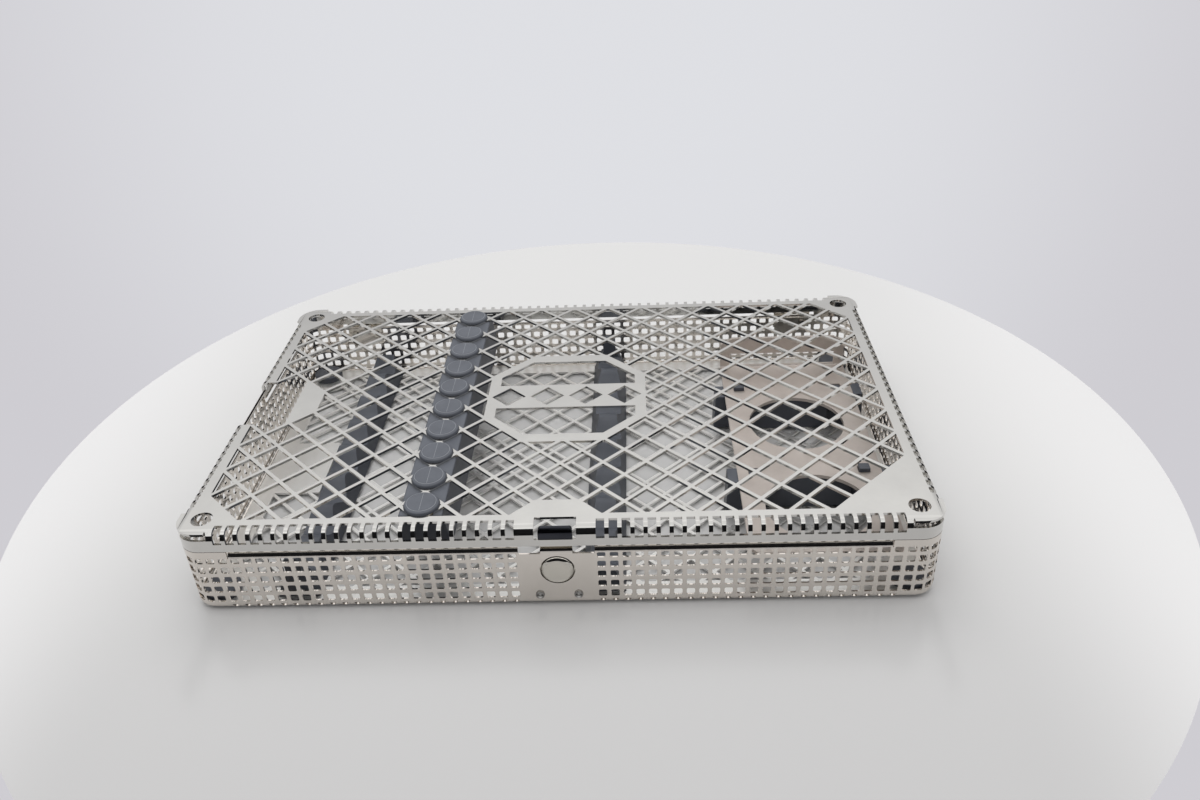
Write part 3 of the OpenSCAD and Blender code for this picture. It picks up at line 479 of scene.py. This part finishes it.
# %% Flat work
def pierced_patch(bm, outline, holes=()):
    """A flat patch with holes, filled between its outlines."""
    edges = []
    for loop in [outline, *holes]:
        points = [bm.verts.new((x, y, 0)) for x, y in loop]
        edges += [bm.edges.new(pair) for pair in zip(points, points[1:] + points[:1])]
    bmesh.ops.triangle_fill(bm, use_beauty=True, use_dissolve=False, edges=edges)


def cut_across(bm, axis, places):
    """Cut a mesh at each place along an axis, and keep all of it."""
    normal = Vector((0, 0, 0))
    normal[axis] = 1
    for place in places:
        geom = bm.verts[:] + bm.edges[:] + bm.faces[:]
        bmesh.ops.bisect_plane(bm, geom=geom, dist=0.0005, plane_co=normal * place, plane_no=normal)


def thicken(bm, depth):
    """Give a flat sheet at z = 0 its thickness, downwards."""
    made = bmesh.ops.extrude_face_region(bm, geom=bm.faces[:])["geom"]
    new_points = [g for g in made if isinstance(g, bmesh.types.BMVert)]
    bmesh.ops.translate(bm, vec=(0, 0, -depth), verts=new_points)


def close_round(bm):
    """Open the two ends of a ribbon, which meet behind the case."""
    ends = [f for f in bm.faces if all(v.co.x < 0.001 for v in f.verts)]
    ends += [f for f in bm.faces if all(v.co.x > ROUND - 0.001 for v in f.verts)]
    bmesh.ops.delete(bm, geom=ends, context="FACES_ONLY")


def circle_points(x, y, radius, count):
    return [(x + radius * math.cos(2 * math.pi * k / count), y + radius * math.sin(2 * math.pi * k / count))
            for k in range(count)]


# %% Columns of holes round the case
HOLE_MARGIN = 12.0
PANEL_HALF = 13.95
FIRST_ROW = FLOOR_LOW + 4.9
ROWS = [FIRST_ROW + k * HOLE_PITCH for k in range(5)]


def columns(half):
    """Distances of the holes from the middle of a wall, up to half its length."""
    places = [(k + 0.5) * HOLE_PITCH for k in range(40)]
    return [p for p in places if p <= half]


long_columns = columns(HALF_L - HOLE_MARGIN)
straight_columns = both_ways(FRONT_S, [p for p in long_columns if p > PANEL_HALF])
straight_columns += long_columns + [ROUND - p for p in long_columns]
for middle in (LEFT_S, RIGHT_S):
    straight_columns += both_ways(middle, columns(HALF_W - HOLE_MARGIN))
straight_columns.sort()
# A gap of three to six pitches is a round corner, which takes four more columns.
CORNER_COLUMNS = 4
all_columns = []
for here, after in zip(straight_columns, straight_columns[1:] + [None]):
    all_columns.append(here)
    if after is not None and 3 * HOLE_PITCH < after - here < 6 * HOLE_PITCH:
        for k in range(1, CORNER_COLUMNS + 1):
            all_columns.append(here + (after - here) * k / (CORNER_COLUMNS + 1))
print(len(all_columns), "columns,", len(all_columns) - len(straight_columns), "of them round the corners")

# %% Shape of a wall's cell
BEND_R = 2.0
BEND_Z = FLOOR_LOW + BEND_R
WALL_FOOT = BEND_Z - BEND_R * math.pi / 2
FOOT_END_X = STRAIGHT_L - HOLE_PITCH
FOOT_END_Y = STRAIGHT_W - HOLE_PITCH - 2.4
CELL_X, CELL_Z = 0.75, 0.7
TOP_ROW_TRIM = 0.6
LIP_R = 2.5
WALL_T = 0.7
# The real lip stands a little closer to the lid than the solid's does.
LIP_RISE = 0.9
LIP_Z = RIM_Z + LIP_RISE - LIP_R
LIP_REACH = 2.6
LIP_END_X = 26 * HOLE_PITCH
LIP_END_Y = 15 * HOLE_PITCH
LIP_GAP = 0.15
NOTCH_WALL = box_of("tray_notch_wall")[1].y
NOTCH_WALL_Z = box_of("tray_notch_wall")[1].z
PIN_HALF = 9.4
HINGE_X = box_of("hinge_pins")[1].x - PIN_HALF
HINGE_BLANK = 7.0
HINGE_ROW = 3
QUARTER_TURN = (0, 22.5, 45, 67.5, 90)


def lip_end(lip_z):
    """How far up the flat ribbon a lip ends that starts to bend at this height."""
    return lip_z + LIP_R * math.pi / 2 + LIP_REACH - LIP_R


def hole_points(x, z, height=HOLE_H):
    """A square hole with round corners."""
    quarter = [(1.0, 1.5), (1.39, 1.34), (HOLE_W / 2, 0.95)]
    loop = quarter[::-1] + [(-a, b) for a, b in quarter]
    loop += [(-a, -b) for a, b in quarter[::-1]] + [(a, -b) for a, b in quarter]
    return [(x + a, z + b * height / HOLE_H) for a, b in loop]


def raised(s):
    """Whether the wall stands up into the lid's corner here, with no lip."""
    core = walk(s)[0]
    return abs(core.x) > LIP_END_X and abs(core.y) > LIP_END_Y


def on_rear_hinge(s):
    core = walk(s)[0]
    return core.y > STRAIGHT_W - 0.01 and abs(abs(core.x) - HINGE_X) < HINGE_BLANK


def notched_foot(s):
    """Whether the row of half holes at the foot runs here. It stops short of the corners."""
    core = walk(s)[0]
    return abs(core.x) < FOOT_END_X or abs(core.y) < FOOT_END_Y


# %% One cell of a wall
def wall_cell(bm, s, left, right, row, z):
    """The sheet round one hole. The top row also carries the lip, and its holes are a little lower."""
    low, high = z - HOLE_PITCH / 2, z + HOLE_PITCH / 2
    side_high = z + CELL_Z
    top_left, top_right = left, right
    hole = hole_points(s, z)
    if row == len(ROWS) - 1:
        hole = hole_points(s, z - TOP_ROW_TRIM / 2, HOLE_H - TOP_ROW_TRIM)
        side_high = LIP_Z
        high = RAISED_Z if raised(s) else lip_end(LIP_Z)
        top_left = left + LIP_GAP if raised(s) != raised(s - HOLE_PITCH) else left
        top_right = right - LIP_GAP if raised(s) != raised(s + HOLE_PITCH) else right
    outline = [(left, low), (s - CELL_X, low), (s + CELL_X, low), (right, low)]
    outline += [(right, z - CELL_Z), (right, side_high)]
    outline += [(top_right, side_high)] * (top_right != right)
    outline += [(top_right, high), (s + CELL_X, high), (s - CELL_X, high), (top_left, high)]
    outline += [(top_left, side_high)] * (top_left != left)
    outline += [(left, side_high), (left, z - CELL_Z)]
    closed = row >= HINGE_ROW and on_rear_hinge(s)
    pierced_patch(bm, outline, [] if closed else [hole])


def foot_cell(bm, s, left, right):
    """The sheet below one column, with a small notch that tapers into the bend."""
    top = ROWS[0] - HOLE_PITCH / 2
    outline = [(left, WALL_FOOT), (right, WALL_FOOT), (right, top)]
    outline += [(s + CELL_X, top), (s - CELL_X, top), (left, top)]
    notch_top, notch_foot = BEND_Z + 0.1, BEND_Z - 1.6
    notch = [(s - 1.2, notch_top), (s - 0.3, notch_foot), (s + 0.3, notch_foot), (s + 1.2, notch_top)]
    pierced_patch(bm, outline, [notch] if notched_foot(s) else [])


# %% Fill the ribbon with cells
ribbon = bmesh.new()
for before, s, after in zip([None] + all_columns[:-1], all_columns, all_columns[1:] + [None]):
    left = 0.0 if before is None else (before + s) / 2
    right = ROUND if after is None else (s + after) / 2
    if s - left > HOLE_PITCH:
        left = s - HOLE_PITCH / 2
    if right - s > HOLE_PITCH:
        right = s + HOLE_PITCH / 2
    foot_cell(ribbon, s, left, right)
    for row, z in enumerate(ROWS):
        wall_cell(ribbon, s, left, right, row, z)
print("ribbon has", len(ribbon.faces), "faces")

# %% Plain panel at the latch
NOTCH_FROM, NOTCH_TO = 5.9, 13.7
NOTCH_Z = RIM_Z - 1.8
BUTTON_Z = FLOOR_LOW + 16.4
BUTTON_HOLE_R = 6.5
RIVET_X = 7.2
RIVET_Z = FLOOR_LOW + 4.5
RIVET_HOLE_R = 0.85
SHORT_LIP = LIP_Z + LIP_R * math.radians(40)
side_levels = [WALL_FOOT] + [z + step for z in ROWS for step in (-HOLE_PITCH / 2, -CELL_Z, CELL_Z)]
side_levels[-1] = LIP_Z
right_side = [(FRONT_S + PANEL_HALF, z) for z in side_levels]
left_side = [(FRONT_S - PANEL_HALF, z) for z in reversed(side_levels)]
top_edge = [(FRONT_S + x, z) for x, z in [
    (NOTCH_TO, NOTCH_Z), (NOTCH_FROM, NOTCH_Z), (NOTCH_FROM, SHORT_LIP),
    (-NOTCH_FROM, SHORT_LIP), (-NOTCH_FROM, NOTCH_Z), (-NOTCH_TO, NOTCH_Z)]]
button_hole = circle_points(FRONT_S, BUTTON_Z, BUTTON_HOLE_R, 64)
rivet_holes = [circle_points(FRONT_S + x, RIVET_Z, RIVET_HOLE_R, 16) for x in (-RIVET_X, RIVET_X)]
pierced_patch(ribbon, right_side + top_edge + left_side, [button_hole] + rivet_holes)
bmesh.ops.remove_doubles(ribbon, verts=ribbon.verts, dist=0.01)
print("ribbon with its panel has", len(ribbon.verts), "points")

# %% Higher wall in the lid's notch
cut_across(ribbon, 0, both_ways(LEFT_S, [NOTCH_WALL]))
cut_across(ribbon, 1, [LIP_Z])
for face in ribbon.faces[:]:
    middle = face.calc_center_median()
    if abs(middle.x - LEFT_S) < NOTCH_WALL and middle.y > LIP_Z:
        ribbon.faces.remove(face)
stray = [e for e in ribbon.edges if not e.link_faces]
bmesh.ops.delete(ribbon, geom=stray, context="EDGES")
NOTCH_LIP_Z = NOTCH_WALL_Z - LIP_R
half, notch_end = NOTCH_WALL - 0.05, lip_end(NOTCH_LIP_Z)
outline = [(LEFT_S - half, LIP_Z), (LEFT_S + half, LIP_Z)]
outline += [(LEFT_S + half, notch_end), (LEFT_S - half, notch_end)]
notch_holes = [hole_points(s, ROWS[-1] + HOLE_PITCH) for s in both_ways(LEFT_S, columns(NOTCH_WALL - HOLE_W))]
pierced_patch(ribbon, outline, notch_holes)
print("notch wall up to", round(NOTCH_WALL_Z, 1), "mm with", len(notch_holes), "holes")

# %% Cut the ribbon where it bends
bend_lines = [BEND_Z - BEND_R * math.radians(a) for a in QUARTER_TURN[:-1]] + [BEND_Z + FLAT_EDGE]
lip_lines = [z + LIP_R * math.radians(a) for z in (LIP_Z, NOTCH_LIP_Z) for a in QUARTER_TURN]
lip_lines.append(LIP_Z - FLAT_EDGE)
cut_across(ribbon, 1, bend_lines + lip_lines)
CORNER_STEPS = 8
corner_lines = []
for start in (STRAIGHT_L, LEFT_S + STRAIGHT_W, FRONT_S + STRAIGHT_L, RIGHT_S + STRAIGHT_W):
    corner_lines += [start + ARC * k / CORNER_STEPS for k in range(CORNER_STEPS + 1)]
cut_across(ribbon, 0, corner_lines)
thicken(ribbon, WALL_T)
close_round(ribbon)
print("cut ribbon has", len(ribbon.faces), "faces")


# %% Fold it
def fold_wall(s, v, depth):
    """Where a point of the flat ribbon goes: s round the case, v up the wall, depth into the sheet."""
    if v < BEND_Z:
        bend = (BEND_Z - v) / BEND_R
        reach = BEND_R - depth
        return place_round(s, BEND_R - reach * math.cos(bend), BEND_Z - reach * math.sin(bend))
    lip_z = NOTCH_LIP_Z if abs(s - LEFT_S) < NOTCH_WALL - 0.02 else LIP_Z
    if v <= lip_z or raised(s):
        return place_round(s, depth, v)
    bend = min((v - lip_z) / LIP_R, math.pi / 2)
    beyond = v - lip_z - LIP_R * bend
    reach = LIP_R - depth
    return place_round(s, LIP_R - reach * math.cos(bend) + beyond, lip_z + reach * math.sin(bend))


for point in ribbon.verts:
    point.co = fold_wall(point.co.x, point.co.y, -point.co.z)
TRAY_WALLS = ["tray_front_wall", "tray_rear_wall", "tray_left_wall", "tray_right_wall"]
TRAY_WALLS += ["tray_corners", "tray_rim", "tray_notch_wall"]
finish_piece("tray_shell", ribbon, tray_steel, "tray", TRAY_WALLS)

# %% [markdown]
# The floor is the same sheet. Its solid already has every diamond in the right place, so a copy of it is
# used, and only its outline moves in a little, to where the bend at the foot of the walls ends.

# %% Floor
floor_sheet = copy_of("tray_floor")
for point in floor_sheet.verts:
    out_x = max(abs(point.co.x) - STRAIGHT_L, 0)
    out_y = max(abs(point.co.y) - STRAIGHT_W, 0)
    reach = math.hypot(out_x, out_y)
    if reach > CORNER_R - SHEET - 0.2:
        pull = 1 - (CORNER_R - BEND_R) / reach
        point.co.x -= math.copysign(out_x * pull, point.co.x)
        point.co.y -= math.copysign(out_y * pull, point.co.y)
finish_piece("tray_floor_sheet", floor_sheet, floor_steel, "tray", ["tray_floor"])

# %% [markdown]
# The lid is a second folded sheet. Its top comes from its solid, because the lattice, the octagon and the
# slots are already there. The strip along each edge is cut into narrow bands and rolled down round the
# bend. Two short relief cuts beside each corner, which the solid has, let the edge roll while the corner
# stays flat.

# %% Roll the lid's edges
LID_BEND = 3.2
LID_BANDS = 6
RELIEF_X = STRAIGHT_L - 3.8
RELIEF_Y = STRAIGHT_W - 3.8
lid_sheet = copy_of("lid_top")
bands = [LID_BEND * k / LID_BANDS for k in range(1, LID_BANDS + 1)] + [LID_BEND + FLAT_EDGE]
cut_across(lid_sheet, 0, both_ways(0, [HALF_L - b for b in bands]))
cut_across(lid_sheet, 1, both_ways(0, [HALF_W - b for b in bands]))


def roll(distance, depth):
    """Distance from the case's side and height of a point once its band is rolled down."""
    bend = (1 - distance / LID_BEND) * math.pi / 2
    reach = LID_BEND - depth
    return LID_BEND - reach * math.sin(bend), LID_Z - LID_BEND + reach * math.cos(bend)


for point in lid_sheet.verts:
    x, y, depth = abs(point.co.x), abs(point.co.y), LID_Z - point.co.z
    if HALF_W - y < LID_BEND and x < RELIEF_X:
        inward, point.co.z = roll(HALF_W - y, depth)
        point.co.y = math.copysign(HALF_W - inward, point.co.y)
    elif HALF_L - x < LID_BEND and y < RELIEF_Y:
        inward, point.co.z = roll(HALF_L - x, depth)
        point.co.x = math.copysign(HALF_L - inward, point.co.x)
finish_piece("lid_plate", lid_sheet, lid_steel, "lid", ["lid_top"])

# %% [markdown]
# The lid's skirt is another ribbon. Here every opening is a plain rectangle, so the ribbon starts as one
# face, is cut along straight lines, and the pieces above the skirt's height at their place are deleted.
# That height is low in the openings, ends at the lid's bend elsewhere, and reaches the top at the corners.

# %% Skirt of the lid
SLOT_Z = LID_Z - 5.0
LATCH_WINDOW = 7.65
LATCH_BAR_Z = SLOT_Z - 0.4
NOTCH_HALF = 17.3
SKIRT_TOP = LID_Z - LID_BEND
CORNER_BAND_X = RELIEF_X - 0.2
CORNER_BAND_Y = RELIEF_Y - 0.2
slot_long = [p for p in long_columns if p < STRAIGHT_L - HOLE_PITCH]
slot_short = columns(STRAIGHT_W - HOLE_PITCH)
slots = both_ways(FRONT_S, [p for p in slot_long if p > PANEL_HALF])
slots += slot_long + [ROUND - p for p in slot_long]
slots += both_ways(RIGHT_S, slot_short)
slots += both_ways(LEFT_S, [p for p in slot_short if p > NOTCH_HALF + HOLE_W / 2])


def skirt_height(s):
    """How high the skirt reaches at this place round the case."""
    core = walk(s)[0]
    if abs(s - LEFT_S) < NOTCH_HALF:
        return 0
    if abs(s - FRONT_S) < LATCH_WINDOW:
        return LATCH_BAR_Z
    if any(abs(s - slot) < HOLE_W / 2 for slot in slots):
        return SLOT_Z
    if abs(core.x) > CORNER_BAND_X and abs(core.y) > CORNER_BAND_Y:
        return BAND_TOP
    return SKIRT_TOP


skirt = bmesh.new()
pierced_patch(skirt, [(0, FLANGE_Z), (ROUND, FLANGE_Z), (ROUND, BAND_TOP), (0, BAND_TOP)])
bmesh.ops.dissolve_limit(skirt, angle_limit=0.01, verts=skirt.verts, edges=skirt.edges)
cut_across(skirt, 0, [slot + side * HOLE_W / 2 for slot in slots for side in (-1, 1)])
cut_across(skirt, 0, both_ways(FRONT_S, [LATCH_WINDOW, CORNER_BAND_X]) + both_ways(LEFT_S, [NOTCH_HALF]))
cut_across(skirt, 0, both_ways(LEFT_S, [CORNER_BAND_Y]) + both_ways(RIGHT_S, [CORNER_BAND_Y]))
cut_across(skirt, 0, [CORNER_BAND_X, ROUND - CORNER_BAND_X] + corner_lines)
cut_across(skirt, 1, [LATCH_BAR_Z, SLOT_Z, SKIRT_TOP])
gone = [f for f in skirt.faces if f.calc_center_median().y > skirt_height(f.calc_center_median().x)]
bmesh.ops.delete(skirt, geom=gone, context="FACES")
thicken(skirt, SHEET)
close_round(skirt)
for point in skirt.verts:
    point.co = place_round(point.co.x, -point.co.z, point.co.y)
SKIRT = ["lid_front_flange", "lid_rear_flange", "lid_left_flange", "lid_right_flange", "lid_corner_bands"]
finish_piece("lid_skirt", skirt, lid_steel, "lid", SKIRT)

# %% [markdown]
# The silicone rails are moulded, so every edge is rounded. A copy of the solid with a bevel modifier keeps
# the shape exact and softens only its edges.

# %% Rails
for rail, body, node in (("left_instrument_rail", "tray", "left_rail"),
                         ("centre_instrument_rail", "tray", "centre_rail"),
                         ("hold_down_bar", "lid", "hold_down_rail")):
    finish_piece(rail, copy_of(node), silicone, body, [node], rounding=0.6, segments=3)

# %% [markdown]
# Plugs, feet, rivets and the button are round, so each is a profile of a few points turned round its axis.
# The corners of a profile are eased first, with a short curve in place of each corner.

# %% Turned pieces
def eased(points, ease, steps=4):
    """The same profile with its inner corners rounded."""
    made = [points[0]]
    for before, corner, after in zip(points, points[1:], points[2:]):
        corner = Vector(corner)
        back, onward = Vector(before) - corner, Vector(after) - corner
        start = corner + back.normalized() * min(ease, back.length / 2)
        end = corner + onward.normalized() * min(ease, onward.length / 2)
        for k in range(steps + 1):
            t = k / steps
            made.append(tuple(start * (1 - t) ** 2 + corner * 2 * t * (1 - t) + end * t ** 2))
    return made + [points[-1]]


def turned(bm, profile, middle, up=(0, 0, 1), steps=48):
    """Turn a profile of (radius, height) points round an axis."""
    up = Vector(up)
    side = up.orthogonal().normalized()
    points = [bm.verts.new(Vector(middle) + side * r + up * h) for r, h in profile]
    edges = [bm.edges.new(pair) for pair in zip(points, points[1:])]
    bmesh.ops.spin(bm, geom=points + edges, cent=middle, axis=up, dvec=(0, 0, 0), angle=2 * math.pi,
                   steps=steps, use_merge=True, use_duplicate=False)


# %% Heads of the hold-down bar
# A plug fills the diamond that it stands in, so it is as wide as the diamond's half diagonal, less a gap.
HEAD_R = 6.95
HEAD_H = 1.6
HOLD_X = -6 * LATTICE_STEP
DIAMOND_SIDE = 7.3
PLUG_R = DIAMOND_SIDE * math.sqrt(2) / 2 - 0.15
plug_rows = [(2 * k - 9) * LATTICE_STEP for k in range(10)]
head_profile = eased([(0, HEAD_H), (HEAD_R - 2.0, HEAD_H - 0.03), (HEAD_R - 1.75, HEAD_H - 0.13),
                      (HEAD_R - 1.5, HEAD_H - 0.05), (HEAD_R - 0.5, HEAD_H - 0.5), (HEAD_R, 0),
                      (PLUG_R, 0), (PLUG_R, -SHEET + 0.01), (0, -SHEET + 0.01)], 0.35)
heads = bmesh.new()
for y in plug_rows:
    turned(heads, head_profile, (HOLD_X, y, LID_Z))
finish_piece("hold_down_buttons", heads, silicone, "lid", ["hold_down_heads"])

# %% Mould seams on the heads
# Each head has a straight seam across its face and a thin ring inside its edge. The seams are coloured paler
# than the heads.
SEAM_HALF = 0.13
seam_z = LID_Z + HEAD_H + 0.02
seams = bmesh.new()
for y in plug_rows:
    corners = [(a * SEAM_HALF, y + b * (HEAD_R - 1.9)) for a, b in ((-1, -1), (1, -1), (1, 1), (-1, 1))]
    low_loop = [seams.verts.new((HOLD_X + a, b, seam_z - 0.08)) for a, b in corners]
    high_loop = [seams.verts.new((HOLD_X + a / 2, b, seam_z)) for a, b in corners]
    seams.faces.new(high_loop)
    seams.faces.new(low_loop[::-1])
    for k in range(4):
        seams.faces.new([low_loop[k], low_loop[(k + 1) % 4], high_loop[(k + 1) % 4], high_loop[k]])
    ring = [(HEAD_R - 1.62, HEAD_H - 0.2), (HEAD_R - 1.5, HEAD_H - 0.03), (HEAD_R - 1.36, HEAD_H - 0.05),
            (HEAD_R - 1.24, HEAD_H - 0.25), (HEAD_R - 1.62, HEAD_H - 0.2)]
    turned(seams, ring, (HOLD_X, y, LID_Z))
finish_piece("hold_down_seams", seams, seam_silicone, "lid")

# %% Plugs and feet under the floor
plug_profile = eased([(0, 0), (HEAD_R - 0.3, 0), (HEAD_R, FLOOR_LOW), (PLUG_R, FLOOR_LOW),
                      (PLUG_R, FLOOR_TOP - 0.01), (0, FLOOR_TOP - 0.01)], 0.2)
for side, x in (("left", -12 * LATTICE_STEP), ("centre", 2 * LATTICE_STEP)):
    plugs = bmesh.new()
    for y in plug_rows:
        turned(plugs, plug_profile, (x, y, 0), steps=32)
    finish_piece(side + "_rail_studs", plugs, silicone, "tray", [side + "_rail_plugs"])
FOOT_NECK_R = 4
foot_top = box_of("corner_feet")[1].z
foot_profile = eased([(0, 0), (HEAD_R - 0.3, 0), (HEAD_R, FLOOR_LOW), (FOOT_NECK_R, FLOOR_LOW),
                      (FOOT_NECK_R, FLOOR_TOP), (HEAD_R, FLOOR_TOP), (HEAD_R, foot_top - 0.8),
                      (HEAD_R - 1, foot_top), (0, foot_top)], 0.3)
feet = bmesh.new()
for x in (-STRAIGHT_L, STRAIGHT_L):
    for y in (-STRAIGHT_W, STRAIGHT_W):
        turned(feet, foot_profile, (x, y, 0), steps=40)
finish_piece("corner_bumpers", feet, silicone, "tray", ["corner_feet"])

# %% [markdown]
# The cup plate is thicker sheet with two round holes, bent up at the back. It is also pierced flat and
# then folded, with the distance from its front edge along Y.

# %% Cup plate
plate_low, plate_high = box_of("cup_plate")
back_top = box_of("cup_plate_back")[1].z
PLATE_X = (plate_low.x + plate_high.x) / 2
PLATE_HALF = (plate_high.x - plate_low.x) / 2
PLATE_T = plate_high.z - plate_low.z
PLATE_BEND = 2.3
PLATE_RUN = plate_high.y - plate_low.y
FLAT_RUN = PLATE_RUN - PLATE_BEND
BEND_RUN = PLATE_BEND * math.pi / 2
BACK_RUN = back_top - plate_high.z
flat_end = FLAT_RUN + BEND_RUN + BACK_RUN + PLATE_T - PLATE_BEND


def rectangle(x, y, half_x, half_y):
    return [(x + a * half_x, y + b * half_y) for a, b in ((-1, -1), (1, -1), (1, 1), (-1, 1))]


CORNER_CUT = 3.0
BACK_CUT = 5.5
outline = [(-PLATE_HALF + CORNER_CUT, 0), (PLATE_HALF - CORNER_CUT, 0), (PLATE_HALF, CORNER_CUT),
           (PLATE_HALF, flat_end - CORNER_CUT), (PLATE_HALF - BACK_CUT, flat_end),
           (-PLATE_HALF + BACK_CUT, flat_end), (-PLATE_HALF, flat_end - CORNER_CUT),
           (-PLATE_HALF, CORNER_CUT)]
CUP_R = 20.5
FIRST_CUP, CUP_STEP = 27, 59.4
cup_holes = [circle_points(0, y, CUP_R, 96) for y in (FIRST_CUP, FIRST_CUP + CUP_STEP)]
LEG_X = PLATE_HALF - 7
LEG_PLACES = (50.7, 116.2)
leg_holes = [rectangle(x, y, 2.45, 2.25) for y in LEG_PLACES for x in (-LEG_X, LEG_X)]
WINDOW_H = 6.6
window_z = flat_end - BACK_RUN + 0.6
window = rectangle(0, window_z + WINDOW_H / 2, PLATE_HALF - 4.4, WINDOW_H / 2)
plate = bmesh.new()
pierced_patch(plate, outline, cup_holes + leg_holes + [window])
plate_lines = [FLAT_RUN + BEND_RUN * k / 5 for k in range(6)]
cut_across(plate, 1, [FLAT_RUN - 0.2] + plate_lines + [FLAT_RUN + BEND_RUN + 0.2])
thicken(plate, PLATE_T)


def fold_plate(x, run, depth):
    """The sheet's outside is its underside, which becomes the back's rear face."""
    reach = PLATE_BEND - PLATE_T + depth
    if run <= FLAT_RUN:
        return Vector((x, plate_low.y + run, plate_high.z - depth))
    bend = min((run - FLAT_RUN) / PLATE_BEND, math.pi / 2)
    beyond = run - FLAT_RUN - bend * PLATE_BEND
    y = plate_low.y + FLAT_RUN + reach * math.sin(bend)
    z = plate_high.z + PLATE_BEND - PLATE_T - reach * math.cos(bend) + beyond
    return Vector((x, y, z))


for point in plate.verts:
    point.co = fold_plate(point.co.x, point.co.y, -point.co.z)
    point.co.x += PLATE_X
finish_piece("cup_rack_plate", plate, plate_steel, "tray", ["cup_plate", "cup_plate_back"])
for support, node in (("cup_rack_legs", "cup_plate_legs"), ("cup_rack_bars", "cup_plate_bars")):
    finish_piece(support, copy_of(node), silicone, "tray", [node], rounding=0.5, segments=3)

# %% [markdown]
# The latch is a flat spring behind the front panel. A round button sits on it, and its upper end is bent
# into the tongue that hooks over the lid.

# %% Latch
finish_piece("latch_spring_foot", copy_of("latch_foot"), spring_steel, "tray", ["latch_foot"],
             rounding=0.1)
finish_piece("latch_spring", copy_of("latch_leaf"), spring_steel, "latch", ["latch_leaf"],
             rounding=0.1)
finish_piece("latch_hook", copy_of("latch_tongue"), tongue_steel, "latch", ["latch_tongue"],
             rounding=0.35, segments=3)
button_low, button_high = box_of("latch_button")
BUTTON_R = 6.1
BUTTON_FACE_R = 4.95
body_l = button_high.y - button_low.y
button_profile = [(0, body_l - 0.1), (BUTTON_FACE_R - 0.35, body_l - 0.1), (BUTTON_FACE_R - 0.2, body_l)]
button_profile += [(BUTTON_FACE_R + 0.1, body_l), (BUTTON_R, body_l - 0.95), (BUTTON_R, 0), (0, 0)]
button_profile = eased(button_profile, 0.6, 6)
button = bmesh.new()
turned(button, button_profile, (0, button_high.y, BUTTON_Z), up=(0, -1, 0), steps=64)
finish_piece("latch_push_button", button, spring_steel, "latch", ["latch_button"])


# %% Rivets
# The head's profile, as shares of its radius: a raised middle, a hollow round it and a rounded edge.
RIVET_HEAD = [(0, 0.44), (0.12, 0.43), (0.24, 0.34), (0.36, 0.2), (0.48, 0.16), (0.6, 0.3), (0.72, 0.46),
              (0.84, 0.48), (0.94, 0.36), (1, 0.16), (1, 0)]
RIVET_TAIL = 0.6


def rivet(bm, middle, up, diameter, grip):
    """A rivet whose shank goes through sheets as thick as the grip and ends in a flat tail."""
    radius = diameter / 2
    profile = [(radius * r, radius * h) for r, h in RIVET_HEAD]
    profile += [(radius / 2, 0), (radius / 2, -grip), (radius * 0.9, -grip),
                (radius * 0.9, -grip - RIVET_TAIL), (0, -grip - RIVET_TAIL)]
    turned(bm, profile, middle, up, steps=24)


SPRING_T = 0.6
RIVET_D = 3.4
rivets = bmesh.new()
for x in (-RIVET_X, RIVET_X):
    rivet(rivets, (x, -HALF_W, RIVET_Z), (0, -1, 0), RIVET_D, SHEET + SPRING_T)
# These rivets take the steel that is painted dark as a painted reflection.
finish_piece("latch_rivet_pair", rivets, dark_reflection_rivet_steel, "tray", ["latch_rivets"])

# %% [markdown]
# Two small hinges behind the case carry the lid. Their leaves and barrels keep the solids' shape, with
# eased edges, and their rivets and pins are turned.

# %% Hinges
HINGE_LEAF_T = 0.8
HINGE_RIVET_STEP = 5.5
SKIRT_RIVET_D = 2.6
WALL_RIVET_Z = RIM_Z - 4.2
SKIRT_RIVET_Z = FLANGE_Z + 1.7
hinge_face = HALF_W + HINGE_LEAF_T
hinge_grip = SHEET + HINGE_LEAF_T
finish_piece("hinge_fixed_leaves", copy_of("hinge_tray_leaves"), spring_steel, "tray",
             ["hinge_tray_leaves"], rounding=0.12)
finish_piece("hinge_moving_leaves", copy_of("hinge_lid_leaves"), spring_steel, "lid",
             ["hinge_lid_leaves"], rounding=0.12)
wall_rivets, lid_rivets, pins = bmesh.new(), bmesh.new(), bmesh.new()
pin_low, pin_high = box_of("hinge_pins")
axis_y, axis_z = (pin_low.y + pin_high.y) / 2, (pin_low.z + pin_high.z) / 2
pin_r = (pin_high.z - pin_low.z) / 2
pin_profile = eased([(0, 0), (pin_r, 0), (pin_r, 2 * PIN_HALF), (0, 2 * PIN_HALF)], 0.25)
for x in (-HINGE_X, HINGE_X):
    for step in (-HINGE_RIVET_STEP, HINGE_RIVET_STEP):
        rivet(wall_rivets, (x + step, hinge_face, WALL_RIVET_Z), (0, 1, 0), RIVET_D, hinge_grip)
    rivet(lid_rivets, (x, hinge_face, SKIRT_RIVET_Z), (0, 1, 0), SKIRT_RIVET_D, hinge_grip)
    turned(pins, pin_profile, (x - PIN_HALF, axis_y, axis_z), up=(1, 0, 0), steps=24)
finish_piece("hinge_wall_rivets", wall_rivets, spring_steel, "tray", ["hinge_tray_rivets"])
finish_piece("hinge_skirt_rivets", lid_rivets, spring_steel, "lid", ["hinge_lid_rivets"])
finish_piece("hinge_axles", pins, spring_steel, "tray", ["hinge_pins"])
